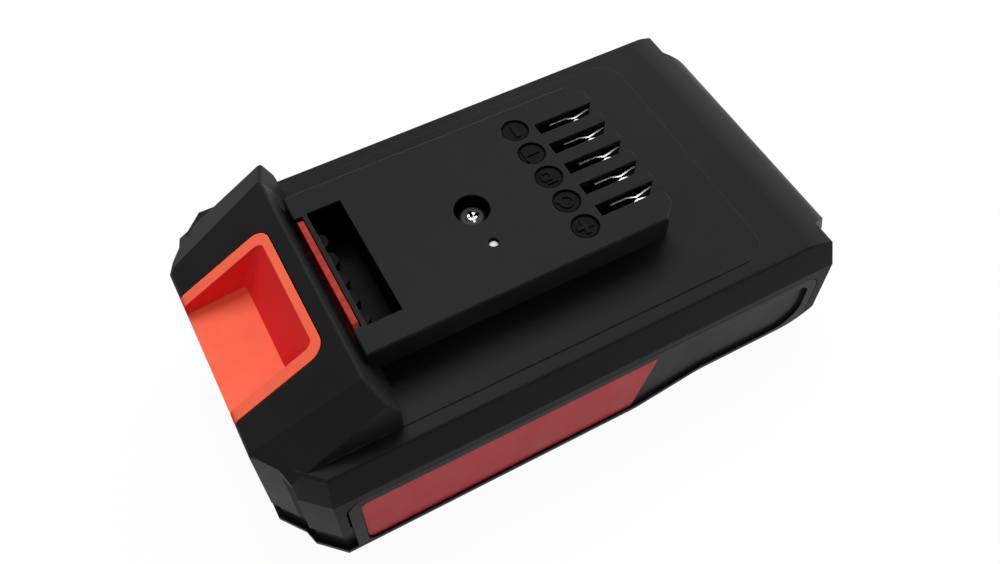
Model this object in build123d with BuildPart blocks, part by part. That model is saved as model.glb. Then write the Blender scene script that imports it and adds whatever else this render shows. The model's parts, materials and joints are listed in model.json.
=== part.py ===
"""Slide-on battery pack for a cordless power tool, modelled as the pieces that it comes apart into.

Millimetres, +Z up. The origin is at the middle of the footprint, on the surface that the pack rests on.
-X is the front with the red release button, +X is the end that slides into the tool first.
"""

from build123d import *
import math
import os

os.makedirs("parts", exist_ok=True)

# Whole pack
tail_room = 19.1
side_room = 5.7
board_room = 3.7
hump_rise = 13.1
wall = 2.2
roof_wall = 2.2
floor_wall = 2.2
overrun = 5.0
seam_gap = 0.2
seat_gap = 0.1

# Plan outline of the case, from the nose at the front to the tail at the rear
nose_side_inset = 14.2
nose_chamfer_run = 4.1
nose_back_inset = 8.6
cheek_setback = 5.0
cheek_inset = 5.3
cheek_chamfer_run = 5.4
tail_setback = 4.5
tail_root_inset = 6.6
tail_side_inset = 9.5
crease_setback = 6.1
crease_inset = 7.4
crease_drop = 3.7

# Shoulder, deck panel and the deck's downward curve at the tail
shoulder_drop = 9.5
shoulder_lean = 1.8
deck_edge_round = 0.6
panel_step = 0.3
panel_inset = 5.1
panel_corner_round = 6.0
panel_rear_gap = 7.6
panel_fade_run = 13.0
panel_end_step = 0.05
droop_run = 13.0
droop_lead = 0.02
droop_drop = 7.1

# Joint line between the two housings
front_skirt_height = 9.6
rear_skirt_height = 7.6
band_inset = 1.3
rim_height = 1.3
lip_gap = 0.15
lip_thickness = 1.15
lip_height = 3.0
side_lip_height = 2.0
side_lip_setback = 3.0
tab_front_setback = 12.9
tab_rear_setback = 7.1
tab_drop = 2.3
tab_front_gap = 0.5
tab_front_round = 3.5
tab_rear_round = 4.5

# Underside, which steps up behind the middle
step_front_setback = 54.3
step_rear_setback = 37.2
step_height = 3.8
step_round = 12.0
heel_run = 13.9
heel_height = 7.4

# Label field in the side of the lower housing
field_front_margin = 2.5
field_rear_margin = 2.3
field_top_margin = 2.4
field_depth = 0.8
field_front_round = 2.0
field_rear_round = 3.0
field_step_round = 12.0
field_heel_round = 7.0
label_thickness = 0.3
label_margin = 0.25
label_run = 72.0
label_slant_run = 5.4

# Hump over the latch
crest_setback = 24.7
crest_side_inset = 11.3
tip_sweep = 1.9
tip_inset = 5.4
tip_drop = 2.0
hump_inset = 5.2
hump_wing_run = 4.1
hump_rear_run = 8.0
face_angle = 29.0
back_angle = 22.8
nose_round = 2.2
crest_round = 0.7

# Rail block that the tool slides over
rail_front_run = 2.6
rail_reach = 38.3
rail_drop = 2.0
rail_inset = 16.6
rail_corner_run = 3.5
flange_thickness = 6.5
rail_groove_depth = 3.2
rail_edge_chamfer = 0.3
neck_wall = 2.0

# Window behind the latch bar, with ribs on its thin front wall
window_front_run = 5.5
window_rear_run = 13.2
window_inset = 6.1
window_wall = 1.5
window_floor_drop = 0.2
window_rib_count = 5
window_rib_pitch_share = 0.345
window_rib_radius = 2.2
window_rib_drop = 4.4

# Slot that the latch bar rises through
bar_slot_rear_run = 4.55
bar_slot_inset = 6.4

# Contact slots, open at the rear end of the rail block
slot_count = 5
slot_pitch_share = 0.2991
slot_width = 3.2
slot_length = 15.2
slot_mouth_chamfer = 0.7
comb_wall = 1.5

# Round marks in front of the contact slots
mark_setback = 4.5
mark_pitch_share = 0.3481
mark_radius_share = 0.419
mark_depth = 0.35
mark_groove_width = 0.4
mark_groove_depth = 0.65
mark_stroke = 1.0
mark_span = 3.7
mark_line = 0.5
mark_relief = 0.3
ring_radius = 1.7
square_side = 2.5

# Screw well and light pipe in the top of the rail block
well_radius = 3.95
well_wall = 1.5
well_depth = 4.8
light_slack_share = 0.2977
light_hole_radius = 1.15

# Case screws and their bosses
boss_radius = 3.5
boss_front_setback = 9.7
boss_front_inset = 0.8
boss_rear_setback = 10.2
boss_rear_inset = 2.0
boss_split_height = 10.0
boss_bore_depth = 14.6
screw_radius = 1.45
screw_clearance = 0.25
screw_bite_clearance = 0.05
screw_head_radius = 2.9
screw_head_height = 2.2
screw_length = 16.0
screw_seat_depth = 3.0
counterbore_clearance = 0.3
driver_cross_span = 3.2
driver_cross_width = 0.7
driver_cross_depth = 1.3
centre_screw_length = 17.0
centre_head_radius = 3.0
centre_head_height = 2.4
centre_head_round = 0.8

# Release button, with the latch bar in one moulding
button_inset = 7.2
button_rear_lead = 3.3
button_corner_round = 3.5
button_gap = 0.25
button_travel = 4.5
button_stop_gap = 0.3
button_wall = 1.8
button_front_land = 1.7
pocket_knee_lead = 11.2
pocket_knee_drop = 15.6
pocket_back_lead = 5.2
pocket_back_drop = 2.7
pocket_front_drop = 16.9
pocket_corner_round = 1.4
pocket_reach_share = 0.4
pocket_inset = 2.9
skirt_reach = 1.8
skirt_gap = 0.3
skirt_height = 8.6
arm_roof_drop = 6.3
arm_thickness = 3.0
arm_inset = 0.7
bar_front_gap = 0.4
bar_thickness = 1.3
bar_inset = 0.3
bar_end_chamfer = 1.0
spring_pad_width = 7.0
spring_pad_drop = 3.1
spring_pin_length = 2.0

# Latch support and springs
spring_lead = 8.6
spring_inset = 7.8
spring_length = 11.0
spring_radius = 2.7
spring_wire_radius = 0.3
support_thickness = 2.0
support_front_lead = 12.0
support_rear_lead = 3.4
support_inset = 4.0
support_leg_thickness = 3.0
support_leg_front_inset = 1.6
support_leg_rear_inset = 1.0
support_post_radius = 1.7
support_post_height = 2.5
socket_wall = 1.2
socket_height = 3.0
socket_gap = 0.15

# Cells, laid across the pack
cell_count = 5
cell_radius = 9.15
cell_length = 65.0
cell_gap = 0.6
cell_button_radius = 3.6
cell_button_height = 0.7
cell_groove_depth = 0.5
cell_groove_width = 1.6
cell_groove_setback = 2.8
cell_edge_round = 0.6

# Cell holders at the two ends of the cells
stack_lead = 1.7
holder_gap = 0.1
holder_floor = 1.0
holder_roof = 0.8
holder_end_wall = 0.6
holder_grip = 11.0
holder_foot_clearance = 4.4
holder_foot_inset = 3.0

# Ribs that hold the stack of cells from above and from both ends
hold_front_reach = 9.5
hold_rear_reach = 27.5
hold_outer_inset = 8.2
hold_width = 5.0
hold_thickness = 2.0
stop_gap = 0.3
stop_thickness = 1.2
stop_height = 6.0

# Tray between the cells and the circuit board
tray_thickness = 1.0
tray_front_margin = 2.5
tray_rear_margin = 4.5
tray_side_inset = 7.2
tray_boss_radius = 3.1
tray_boss_depth = 3.2
tray_peg_radius = 1.0
tray_peg_height = 1.4
tray_peg_setback = 3.5
tray_peg_inset = 3.0

# Circuit board and what it carries
board_thickness = 1.6
board_front_reach = 20.0
board_rear_run = 6.5
board_side_inset = 18.2
board_corner_round = 1.5
board_hole_gap = 0.25
pin_hole_radius = 0.8
well_tube_radius = 3.6
chip_size = 7.0
chip_height = 1.1
chip_reach = 12.5
chip_y = 8.0
chip_lead_length = 1.0
chip_lead_width = 0.35
chip_lead_height = 0.6
chip_lead_count = 8
chip_lead_pitch = 0.8
transistor_length = 6.2
transistor_width = 6.6
transistor_height = 2.3
transistor_room_share = 0.3687
transistor_pitch = 8.4
transistor_count = 3
transistor_tab_length = 1.6
transistor_tab_height = 0.6
fuse_reach = 11.0
fuse_y = -9.0
fuse_length = 10.0
fuse_width = 3.0
fuse_height = 2.6
fuse_cap_length = 2.0
fuse_cap_proud = 0.15
capacitor_radius = 3.15
capacitor_height = 8.0
capacitor_reach = 4.5
capacitor_inset = 9.0
capacitor_base_height = 0.8
capacitor_count = 2
capacitor_pitch = 8.0
shunt_carrier_gap = 0.4
shunt_inset = 5.0
shunt_length = 6.4
shunt_width = 3.2
shunt_height = 0.8
led_width = 1.6
led_length = 2.4
led_height = 0.9
pipe_radius = 1.05
pipe_flange_radius = 2.2
pipe_flange_thickness = 1.0
pipe_setback = 0.8
pipe_led_gap = 0.2
pipe_tip_round = 0.4

# Contact carrier and the two-leaf terminals that stand in it
carrier_front_margin = 1.6
carrier_rear_margin = 2.2
carrier_inset = 4.0
carrier_top_gap = 0.1
carrier_rib_gap = 0.1
carrier_rib_rise = 0.8
carrier_rib_front_gap = 0.3
carrier_rib_rear_gap = 0.6
terminal_front_share = 0.2368
terminal_meet_setback = 5.4
terminal_mouth_setback = 1.2
terminal_leaf_thickness = 0.4
terminal_heel_half_gap = 0.95
terminal_meet_half_gap = 0.3
terminal_mouth_half_gap = 1.15
terminal_top_gap = 1.6
terminal_base_share = 0.2763
terminal_pin_size = 0.9
terminal_pin_setback = 0.9
terminal_pin_depth = 1.2
terminal_pin_gap = 0.12

# Nickel strips, insulation and wires
strip_thickness = 0.2
strip_width = 8.0
strip_end = 4.5
strip_gap = 0.05
strip_tab_width = 5.0
strip_tab_rise = 4.6
sheet_thickness = 0.3
sheet_gap = 0.15
sheet_margin = 1.2
lead_radius = 1.3
sense_radius = 0.5
lead_bend_radius = 2.0
sense_bend_radius = 1.2
lead_turn_reach = 6.0
lead_positive_setback = 3.7
lead_negative_setback = 3.5
lead_end_inset = 3.0
lead_gap = 0.1
sense_dip_high_reach = 8.5
sense_dip_low_reach = 3.0
sense_dip = 1.2
sense_end_inset = 1.6
thermistor_bead_radius = 1.5
thermistor_wire_radius = 0.35
thermistor_wire_gap = 1.4
thermistor_reach_x = 18.9
thermistor_reach_y = 4.2

# Heights, built up from the cells
rear_floor_top = step_height + floor_wall
holder_bottom = rear_floor_top + seat_gap
cell_axis_z = holder_bottom + holder_floor + cell_radius
holder_top = cell_axis_z + cell_radius + holder_roof
tray_top = holder_top + tray_thickness
board_top = tray_top + board_thickness
deck_underside = board_top + board_room
deck_height = deck_underside + roof_wall
ridge_height = deck_height - shoulder_drop
tab_height = ridge_height - tab_drop
crease_top = deck_height - crease_drop
droop_end_height = deck_height - droop_drop
crest_height = deck_height + hump_rise
tip_height = crest_height - tip_drop
rail_height = crest_height - rail_drop
flange_underside = rail_height - flange_thickness
window_floor_height = deck_height - window_floor_drop
window_rib_top = rail_height - window_rib_drop
well_seat_height = rail_height - well_depth
carrier_base_top = deck_underside - carrier_top_gap
carrier_rib_top = deck_height + carrier_rib_rise
pocket_knee_height = crest_height - pocket_knee_drop
pocket_back_height = crest_height - pocket_back_drop
pocket_front_height = crest_height - pocket_front_drop
button_bottom = pocket_front_height - button_front_land
apron_height = button_bottom - button_travel - button_stop_gap
skirt_bottom = button_bottom - skirt_height
arm_roof_height = rail_height - arm_roof_drop
spring_pad_top = pocket_back_height - spring_pad_drop
support_top = button_bottom - spring_length

# Stations along the pack, from its two ends and from the screw well
cell_pitch = 2 * cell_radius + cell_gap
stack_length = (cell_count - 1) * cell_pitch + 2 * (cell_radius + holder_gap + holder_end_wall)
pack_length = crest_setback - stack_lead + stack_length + tail_room
front_x = -pack_length / 2
rear_x = pack_length / 2
tab_front_x = front_x + tab_front_setback
tab_rear_x = rear_x - tab_rear_setback
step_front_x = rear_x - step_front_setback
step_rear_x = rear_x - step_rear_setback
crest_x = front_x + crest_setback
tip_x = crest_x + tip_sweep
hump_rear_x = crest_x + hump_rear_run
hump_foot_x = crest_x + hump_rise * math.tan(math.radians(back_angle))
hump_wing_foot_x = crest_x + hump_wing_run
rail_front_x = crest_x + rail_front_run
window_front_x = crest_x + window_front_run
window_rear_x = crest_x + window_rear_run
bar_slot_rear_x = crest_x + bar_slot_rear_run
button_rear_x = crest_x - button_rear_lead
pocket_knee_x = crest_x - pocket_knee_lead
pocket_back_x = crest_x - pocket_back_lead
bar_front_x = rail_front_x + bar_front_gap
bar_rear_x = bar_front_x + bar_thickness
spring_x = crest_x - spring_lead
support_front_x = crest_x - support_front_lead
support_rear_x = crest_x - support_rear_lead
support_leg_front_x = support_front_x + support_leg_front_inset
support_leg_rear_x = support_rear_x - support_leg_rear_inset
boss_front_x = front_x + boss_front_setback
boss_rear_x = rear_x - boss_rear_setback
holder_front_x = crest_x - stack_lead
cell_front_x = holder_front_x + holder_end_wall + holder_gap + cell_radius
holder_rear_x = holder_front_x + stack_length
holder_foot_rear_x = step_front_x - holder_foot_clearance
well_x = cell_front_x + cell_pitch + cell_pitch / 2
rail_rear_x = well_x + rail_reach
slot_front_x = rail_rear_x - slot_length
mark_x = slot_front_x - mark_setback
hold_front_x = well_x - hold_front_reach
hold_rear_x = well_x + hold_rear_reach
carrier_front_x = slot_front_x - carrier_front_margin
carrier_rear_x = rail_rear_x + carrier_rear_margin
board_front_x = well_x - board_front_reach
board_rear_x = carrier_rear_x + board_rear_run
tray_front_x = board_front_x - tray_front_margin
tray_rear_x = board_rear_x + tray_rear_margin
chip_x = well_x - chip_reach
transistor_front_x = well_x + well_tube_radius
transistor_room = carrier_front_x - transistor_front_x
transistor_x = transistor_front_x + transistor_room * transistor_room_share + transistor_tab_length / 2
fuse_x = well_x - fuse_reach
capacitor_x = well_x - capacitor_reach
shunt_x = carrier_front_x - shunt_carrier_gap - shunt_length / 2
thermistor_x = well_x + thermistor_reach_x
terminal_front_x = slot_front_x + slot_length * terminal_front_share
terminal_meet_x = rail_rear_x - terminal_meet_setback
terminal_mouth_x = rail_rear_x - terminal_mouth_setback
lead_positive_x = board_rear_x - lead_positive_setback
lead_negative_x = board_front_x + lead_negative_setback
nose_top = crest_height - (crest_x - front_x) * math.tan(math.radians(face_angle))

# Distances from the middle plane, from the length of the cells
holder_outer_y = cell_length / 2
holder_inner_y = holder_outer_y - holder_grip
half_width = holder_outer_y + side_room
pack_width = 2 * half_width
lip_outer_inset = wall + lip_gap
cavity_inset = lip_outer_inset + lip_thickness
nose_half_width = half_width - nose_side_inset
nose_half_back = half_width - nose_back_inset
cheek_half_width = half_width - cheek_inset
tail_root_half_width = half_width - tail_root_inset
tail_half_width = half_width - tail_side_inset
crease_half_width = half_width - crease_inset
panel_half_width = half_width - panel_inset
crest_half_width = half_width - crest_side_inset
tip_half_width = half_width - tip_inset
hump_half_width = half_width - hump_inset
rail_half_width = half_width - rail_inset
neck_half_width = rail_half_width - rail_groove_depth
neck_cavity_half_width = neck_half_width - neck_wall
light_slack = neck_cavity_half_width - well_radius - well_wall - 2 * pipe_flange_radius
light_hole_y = -(well_radius + well_wall + pipe_flange_radius + light_slack * light_slack_share)
window_half_width = rail_half_width - window_inset
window_rib_pitch = window_half_width * window_rib_pitch_share
bar_slot_half_width = rail_half_width - bar_slot_inset
slot_pitch = rail_half_width * slot_pitch_share
mark_pitch = rail_half_width * mark_pitch_share
mark_radius = mark_pitch * mark_radius_share
boss_front_y = nose_half_width - boss_front_inset
boss_rear_y = tail_half_width - boss_rear_inset
button_half_width = nose_half_width - button_inset
skirt_half_width = button_half_width + skirt_reach
pocket_half_width = button_half_width - pocket_inset
arm_half_width = bar_slot_half_width - arm_inset
bar_half_width = bar_slot_half_width - bar_inset
spring_y = button_half_width - spring_inset
support_half_width = nose_half_width - support_inset
hold_outer_y = half_width - hold_outer_inset
hold_inner_y = hold_outer_y - hold_width
board_half_width = half_width - board_side_inset
tray_half_width = half_width - tray_side_inset
carrier_half_width = rail_half_width - carrier_inset
capacitor_y = board_half_width - capacitor_inset
shunt_y = shunt_inset - board_half_width
lead_turn_y = board_half_width + lead_turn_reach
lead_end_y = board_half_width - lead_end_inset
sense_dip_high_y = board_half_width + sense_dip_high_reach
sense_dip_low_y = board_half_width + sense_dip_low_reach
sense_end_y = board_half_width - sense_end_inset
thermistor_y = board_half_width + thermistor_reach_y


def mirrored(points):
    """Closes a half outline, given on the +Y side from front to rear, with its mirror image."""
    return points + [(x, -y) for x, y in reversed(points)]


case_outline = mirrored(
    [
        (front_x, nose_half_width),
        (front_x + nose_chamfer_run, nose_half_back),
        (front_x + cheek_setback, cheek_half_width),
        (front_x + cheek_setback + cheek_chamfer_run, half_width),
        (rear_x - tail_setback, half_width),
        (rear_x - tail_setback, tail_root_half_width),
        (rear_x, tail_half_width),
    ]
)


def plan(height, inset):
    """Plan outline of the case at a height, drawn in by inset all round."""
    with BuildSketch(Plane.XY.offset(height)) as outline:
        with BuildLine():
            Polyline(*case_outline, close=True)
        make_face()
        if inset > 0:
            offset(amount=-inset, kind=Kind.INTERSECTION)
    return outline.sketch


def side_profile(points, rounds=()):
    """Closed profile in the XZ plane; rounds lists corner numbers with their radii."""
    with BuildSketch(Plane.XZ) as profile:
        with BuildLine():
            Polyline(*points, close=True)
        make_face()
        for corner, radius in rounds:
            fillet(profile.vertices().sort_by_distance(points[corner])[0], radius=radius)
    return profile.sketch


def across(sketch, half_span):
    """Extrudes a profile of the XZ plane to both sides."""
    with BuildPart() as prism:
        extrude(sketch, amount=half_span, both=True)
    return prism.part


def between(sketch, low_y, high_y):
    """Extrudes a profile of the XZ plane from one distance off the middle to another, on both sides."""
    with BuildPart() as pair:
        extrude(sketch, amount=high_y, both=True)
        extrude(sketch, amount=low_y, both=True, mode=Mode.SUBTRACT)
    return pair.part


def block(x_span, y_span, z_span):
    """Box between pairs of limits."""
    middle = (sum(x_span) / 2, sum(y_span) / 2, sum(z_span) / 2)
    with BuildPart() as piece:
        with Locations(middle):
            Box(x_span[1] - x_span[0], y_span[1] - y_span[0], z_span[1] - z_span[0])
    return piece.part


def post(x, y, radius, low, high):
    """Upright cylinder between two heights."""
    with BuildPart() as piece:
        with BuildSketch(Plane.XY.offset(low)):
            with Locations((x, y)):
                Circle(radius)
        extrude(amount=high - low)
    return piece.part


def slab(inset, low, high, x_span=(front_x, rear_x)):
    """Layer of the case's plan, drawn in by inset, between two heights and two stations."""
    with BuildPart() as layer:
        extrude(plan(low, inset), amount=high - low)
        add(block(x_span, (-pack_width, pack_width), (low, high)), mode=Mode.INTERSECT)
    return layer.part


def both_sides(low_y, high_y):
    """Limits across the pack of a feature on either side."""
    return ((-high_y, -low_y), (low_y, high_y))


def save(piece, name):
    """Writes a piece to its own file under its name."""
    piece.label = name
    export_step(piece, f"parts/{name}.step")


def case_form(inset, top):
    """Form of the case drawn in by inset, upright up to the ridge and leaning in above it, up to top."""
    lean = shoulder_lean * (top - ridge_height) / (deck_height - ridge_height)
    with BuildPart() as form:
        extrude(plan(0, inset), amount=ridge_height)
        loft([plan(ridge_height, inset), plan(top, inset + lean)], ruled=True)
    return form.part


def droop_cutter(inset):
    """All that lies above the deck's downward curve at the tail, drawn in by inset."""
    start = (rear_x - droop_run, deck_height - panel_step + droop_lead - inset)
    end = (rear_x - inset, droop_end_height - inset)
    far_x = rear_x + overrun
    far_z = crest_height + overrun
    with BuildSketch(Plane.XZ) as profile:
        with BuildLine():
            TangentArc(start, end, tangent=(1, 0))
            Polyline(end, (far_x, end[1]), (far_x, far_z), (start[0], far_z), start)
        make_face()
    return across(profile.sketch, pack_width)


def plane_through(a, b, c, inset):
    """Plane through three points, its normal pointing up or to the rear, moved inwards by inset."""
    normal = (Vector(*b) - Vector(*a)).cross(Vector(*c) - Vector(*a)).normalized()
    if normal.Z < 0:
        normal = -normal
    return Plane(origin=Vector(*a) - normal * inset, z_dir=normal)


def hump_face(inset):
    """Sloping front face of the hump."""
    slope = math.radians(face_angle)
    normal = Vector(-math.sin(slope), 0, math.cos(slope))
    return Plane(origin=Vector(crest_x, 0, crest_height) - normal * inset, z_dir=normal)


def hump_back(inset):
    """Steep rear face of the hump between its wings."""
    slope = math.radians(back_angle)
    normal = Vector(math.cos(slope), 0, math.sin(slope))
    return Plane(origin=Vector(crest_x, 0, crest_height) - normal * inset, z_dir=normal)


def hump_bevel(side, inset):
    """Facet that falls from the front face to the hump's flank."""
    return plane_through(
        (crest_x, side * crest_half_width, crest_height),
        (tip_x, side * tip_half_width, tip_height),
        (front_x, side * nose_half_width, nose_top),
        inset,
    )


def hump_wing_back():
    """Rear facet of the wing on the +Y side, swept back from the middle to the tip."""
    return plane_through(
        (crest_x, crest_half_width, crest_height),
        (tip_x, tip_half_width, tip_height),
        (hump_foot_x, crest_half_width, deck_height),
        0,
    )


def hump_wing_end():
    """Upright facet that ends the wing on the +Y side, drawn forward towards the flank."""
    normal = Vector(hump_half_width - crest_half_width, hump_foot_x - hump_wing_foot_x, 0)
    return Plane(origin=(hump_foot_x, crest_half_width, deck_height), z_dir=normal)


def nose_form(inset):
    """Block under the hump's front face, cut to the plan of the nose and rounded over at the front."""
    outline = mirrored(
        [
            (front_x, nose_half_width),
            (front_x + nose_chamfer_run, nose_half_back),
            (front_x + cheek_setback, hump_half_width),
            (hump_rear_x, hump_half_width),
        ]
    )
    with BuildPart() as form:
        with BuildSketch(Plane.XY.offset(ridge_height)):
            with BuildLine():
                Polyline(*outline, close=True)
            make_face()
            if inset > 0:
                offset(amount=-inset, kind=Kind.INTERSECTION)
        extrude(amount=crest_height - ridge_height)
        split(bisect_by=hump_face(inset), keep=Keep.BOTTOM)
        if inset == 0:
            top = [
                edge
                for edge in edges()
                if max(edge.position_at(0).X, edge.position_at(1).X) < front_x + nose_chamfer_run + seam_gap
                and min(edge.position_at(0).Z, edge.position_at(1).Z) > ridge_height + seam_gap
            ]
            fillet(top, radius=nose_round)
    return form.part


def hump_section(inset, low_y, high_y, rears):
    """Hump between two distances off the middle, on the +Y side, ended by planes at the rear."""
    with BuildPart() as section:
        add(nose_form(inset))
        add(
            block((front_x, hump_rear_x), (low_y, high_y), (ridge_height, crest_height)),
            mode=Mode.INTERSECT,
        )
        for rear in rears:
            split(bisect_by=rear, keep=Keep.BOTTOM)
        split(bisect_by=hump_bevel(1, inset), keep=Keep.BOTTOM)
    return section.part


def hump_form(inset):
    """Hump with its nose, drawn in by inset, standing on the height of the ridge."""
    with BuildPart() as form:
        if inset == 0:
            add(hump_section(inset, 0, crest_half_width, [hump_back(inset)]))
            wing_ends = [hump_wing_back(), hump_wing_end()]
            add(hump_section(inset, crest_half_width, hump_half_width, wing_ends))
        else:
            add(hump_section(inset, 0, hump_half_width, [hump_back(inset)]))
        mirror(about=Plane.XZ)
    return form.part


def underside(rise):
    """Lower profile of the case, raised by rise, as the region below it."""
    low_z = -overrun
    heel_x = rear_x - heel_run
    tail_x = rear_x - tail_setback
    with BuildSketch(Plane.XZ) as profile:
        with BuildLine():
            FilletPolyline(
                (front_x - overrun, rise),
                (step_front_x, rise),
                (step_rear_x, step_height + rise),
                (heel_x, step_height + rise),
                radius=step_round,
            )
            TangentArc((heel_x, step_height + rise), (tail_x, heel_height + rise), tangent=(1, 0))
            Polyline(
                (tail_x, heel_height + rise),
                (rear_x + overrun, heel_height + rise),
                (rear_x + overrun, low_z),
                (front_x - overrun, low_z),
                (front_x - overrun, rise),
            )
        make_face()
    return across(profile.sketch, pack_width)


def tab_profile(grow, front_grow):
    """Side tab of the lower housing, seen from the side, grown by grow and at the front by front_grow."""
    front = tab_front_x - front_grow
    rear = tab_rear_x + grow
    top = tab_height + grow
    points = [(front, -overrun), (rear, -overrun), (rear, top), (front, top)]
    return side_profile(points, ((2, tab_rear_round + grow), (3, tab_front_round + grow)))


def field_profile(margin):
    """Label field in a side tab, drawn in by margin."""
    front = tab_front_x + field_front_margin + margin
    rear = tab_rear_x - field_rear_margin - margin
    top = tab_height - field_top_margin - margin
    low = rim_height + margin
    points = [
        (front, low),
        (step_front_x, low),
        (step_rear_x, step_height + low),
        (rear, step_height + low),
        (rear, top),
        (front, top),
    ]
    rounds = (
        (0, field_front_round),
        (1, field_step_round),
        (2, field_step_round),
        (3, field_heel_round),
        (4, field_rear_round),
        (5, field_front_round),
    )
    return side_profile(points, rounds)


def button_prism(gap, low):
    """Upright prism of the button opening, drawn in by gap, from low up past the crest."""
    rear = button_rear_x - gap
    side = button_half_width - gap
    with BuildPart() as prism:
        with BuildSketch(Plane.XY.offset(low)):
            with Locations(((front_x - overrun + rear) / 2, 0)):
                Rectangle(rear - front_x + overrun, 2 * side)
            fillet(vertices().group_by(Axis.X)[-1], radius=button_corner_round - gap)
        extrude(amount=crest_height + overrun - low)
    return prism.part


boss_pairs = ((boss_front_x, boss_front_y), (boss_rear_x, boss_rear_y))
boss_places = [(x, side * y) for x, y in boss_pairs for side in (-1, 1)]
slot_places = [(row - (slot_count - 1) / 2) * slot_pitch for row in range(slot_count)]
mark_places = [(row - (slot_count - 1) / 2) * mark_pitch for row in range(slot_count)]
cell_places = [cell_front_x + row * cell_pitch for row in range(cell_count)]


def seat_height(x):
    """Height at which a case screw's head sits in the lower housing."""
    if x < 0:
        return screw_seat_depth
    reach = x - (rear_x - heel_run)
    run = heel_run - tail_setback
    rise = heel_height - step_height
    radius = (run**2 + rise**2) / (2 * rise)
    return step_height + radius - math.sqrt(radius**2 - max(reach, 0) ** 2) + screw_seat_depth


# Hump with its rounded crest, shared by the upper housing and the button
with BuildPart() as hump:
    add(hump_form(0))
    crest_edges = [
        edge
        for edge in edges()
        if min(edge.position_at(0).X, edge.position_at(1).X) > crest_x - crest_round
        and min(edge.position_at(0).Z, edge.position_at(1).Z) > tip_height - crest_round
    ]
    fillet(crest_edges, radius=crest_round)
    split(bisect_by=Plane.XZ, keep=Keep.BOTTOM)
    mirror(about=Plane.XZ)

# Space inside the upper housing, with the bosses and ribs that stand in it left out
with BuildPart() as hollow:
    add(case_form(wall, deck_underside))
    add(droop_cutter(roof_wall), mode=Mode.SUBTRACT)
    add(hump_form(wall))
    add(
        block(
            (window_rear_x + window_wall, slot_front_x - comb_wall),
            (-neck_cavity_half_width, neck_cavity_half_width),
            (deck_underside - overrun, rail_height - roof_wall),
        )
    )
    for x, y in boss_places:
        add(post(x, y, boss_radius, boss_split_height, crest_height), mode=Mode.SUBTRACT)
    add(
        post(well_x, 0, well_radius + well_wall, well_seat_height - well_wall, rail_height),
        mode=Mode.SUBTRACT,
    )
    add(post(well_x, 0, well_tube_radius, tray_top + seat_gap, rail_height), mode=Mode.SUBTRACT)
    for x in (hold_front_x, hold_rear_x):
        for y_span in both_sides(hold_inner_y, hold_outer_y):
            rib = block((x, x + hold_thickness), y_span, (tray_top + seat_gap, deck_height))
            add(rib, mode=Mode.SUBTRACT)

# Rail block on its neck, with a fine chamfer round its top
rail_outline = mirrored(
    [
        (rail_front_x, rail_half_width),
        (rail_rear_x - rail_corner_run, rail_half_width),
        (rail_rear_x, rail_half_width - rail_corner_run),
    ]
)
with BuildPart() as rail_block:
    with BuildSketch(Plane.XY.offset(flange_underside)):
        with BuildLine():
            Polyline(*rail_outline, close=True)
        make_face()
    extrude(amount=flange_thickness)
    chamfer(edges().group_by(Axis.Z)[-1], length=rail_edge_chamfer)
    neck_y = (-neck_half_width, neck_half_width)
    add(block((rail_front_x, rail_rear_x), neck_y, (deck_underside, flange_underside + seat_gap)))

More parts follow.
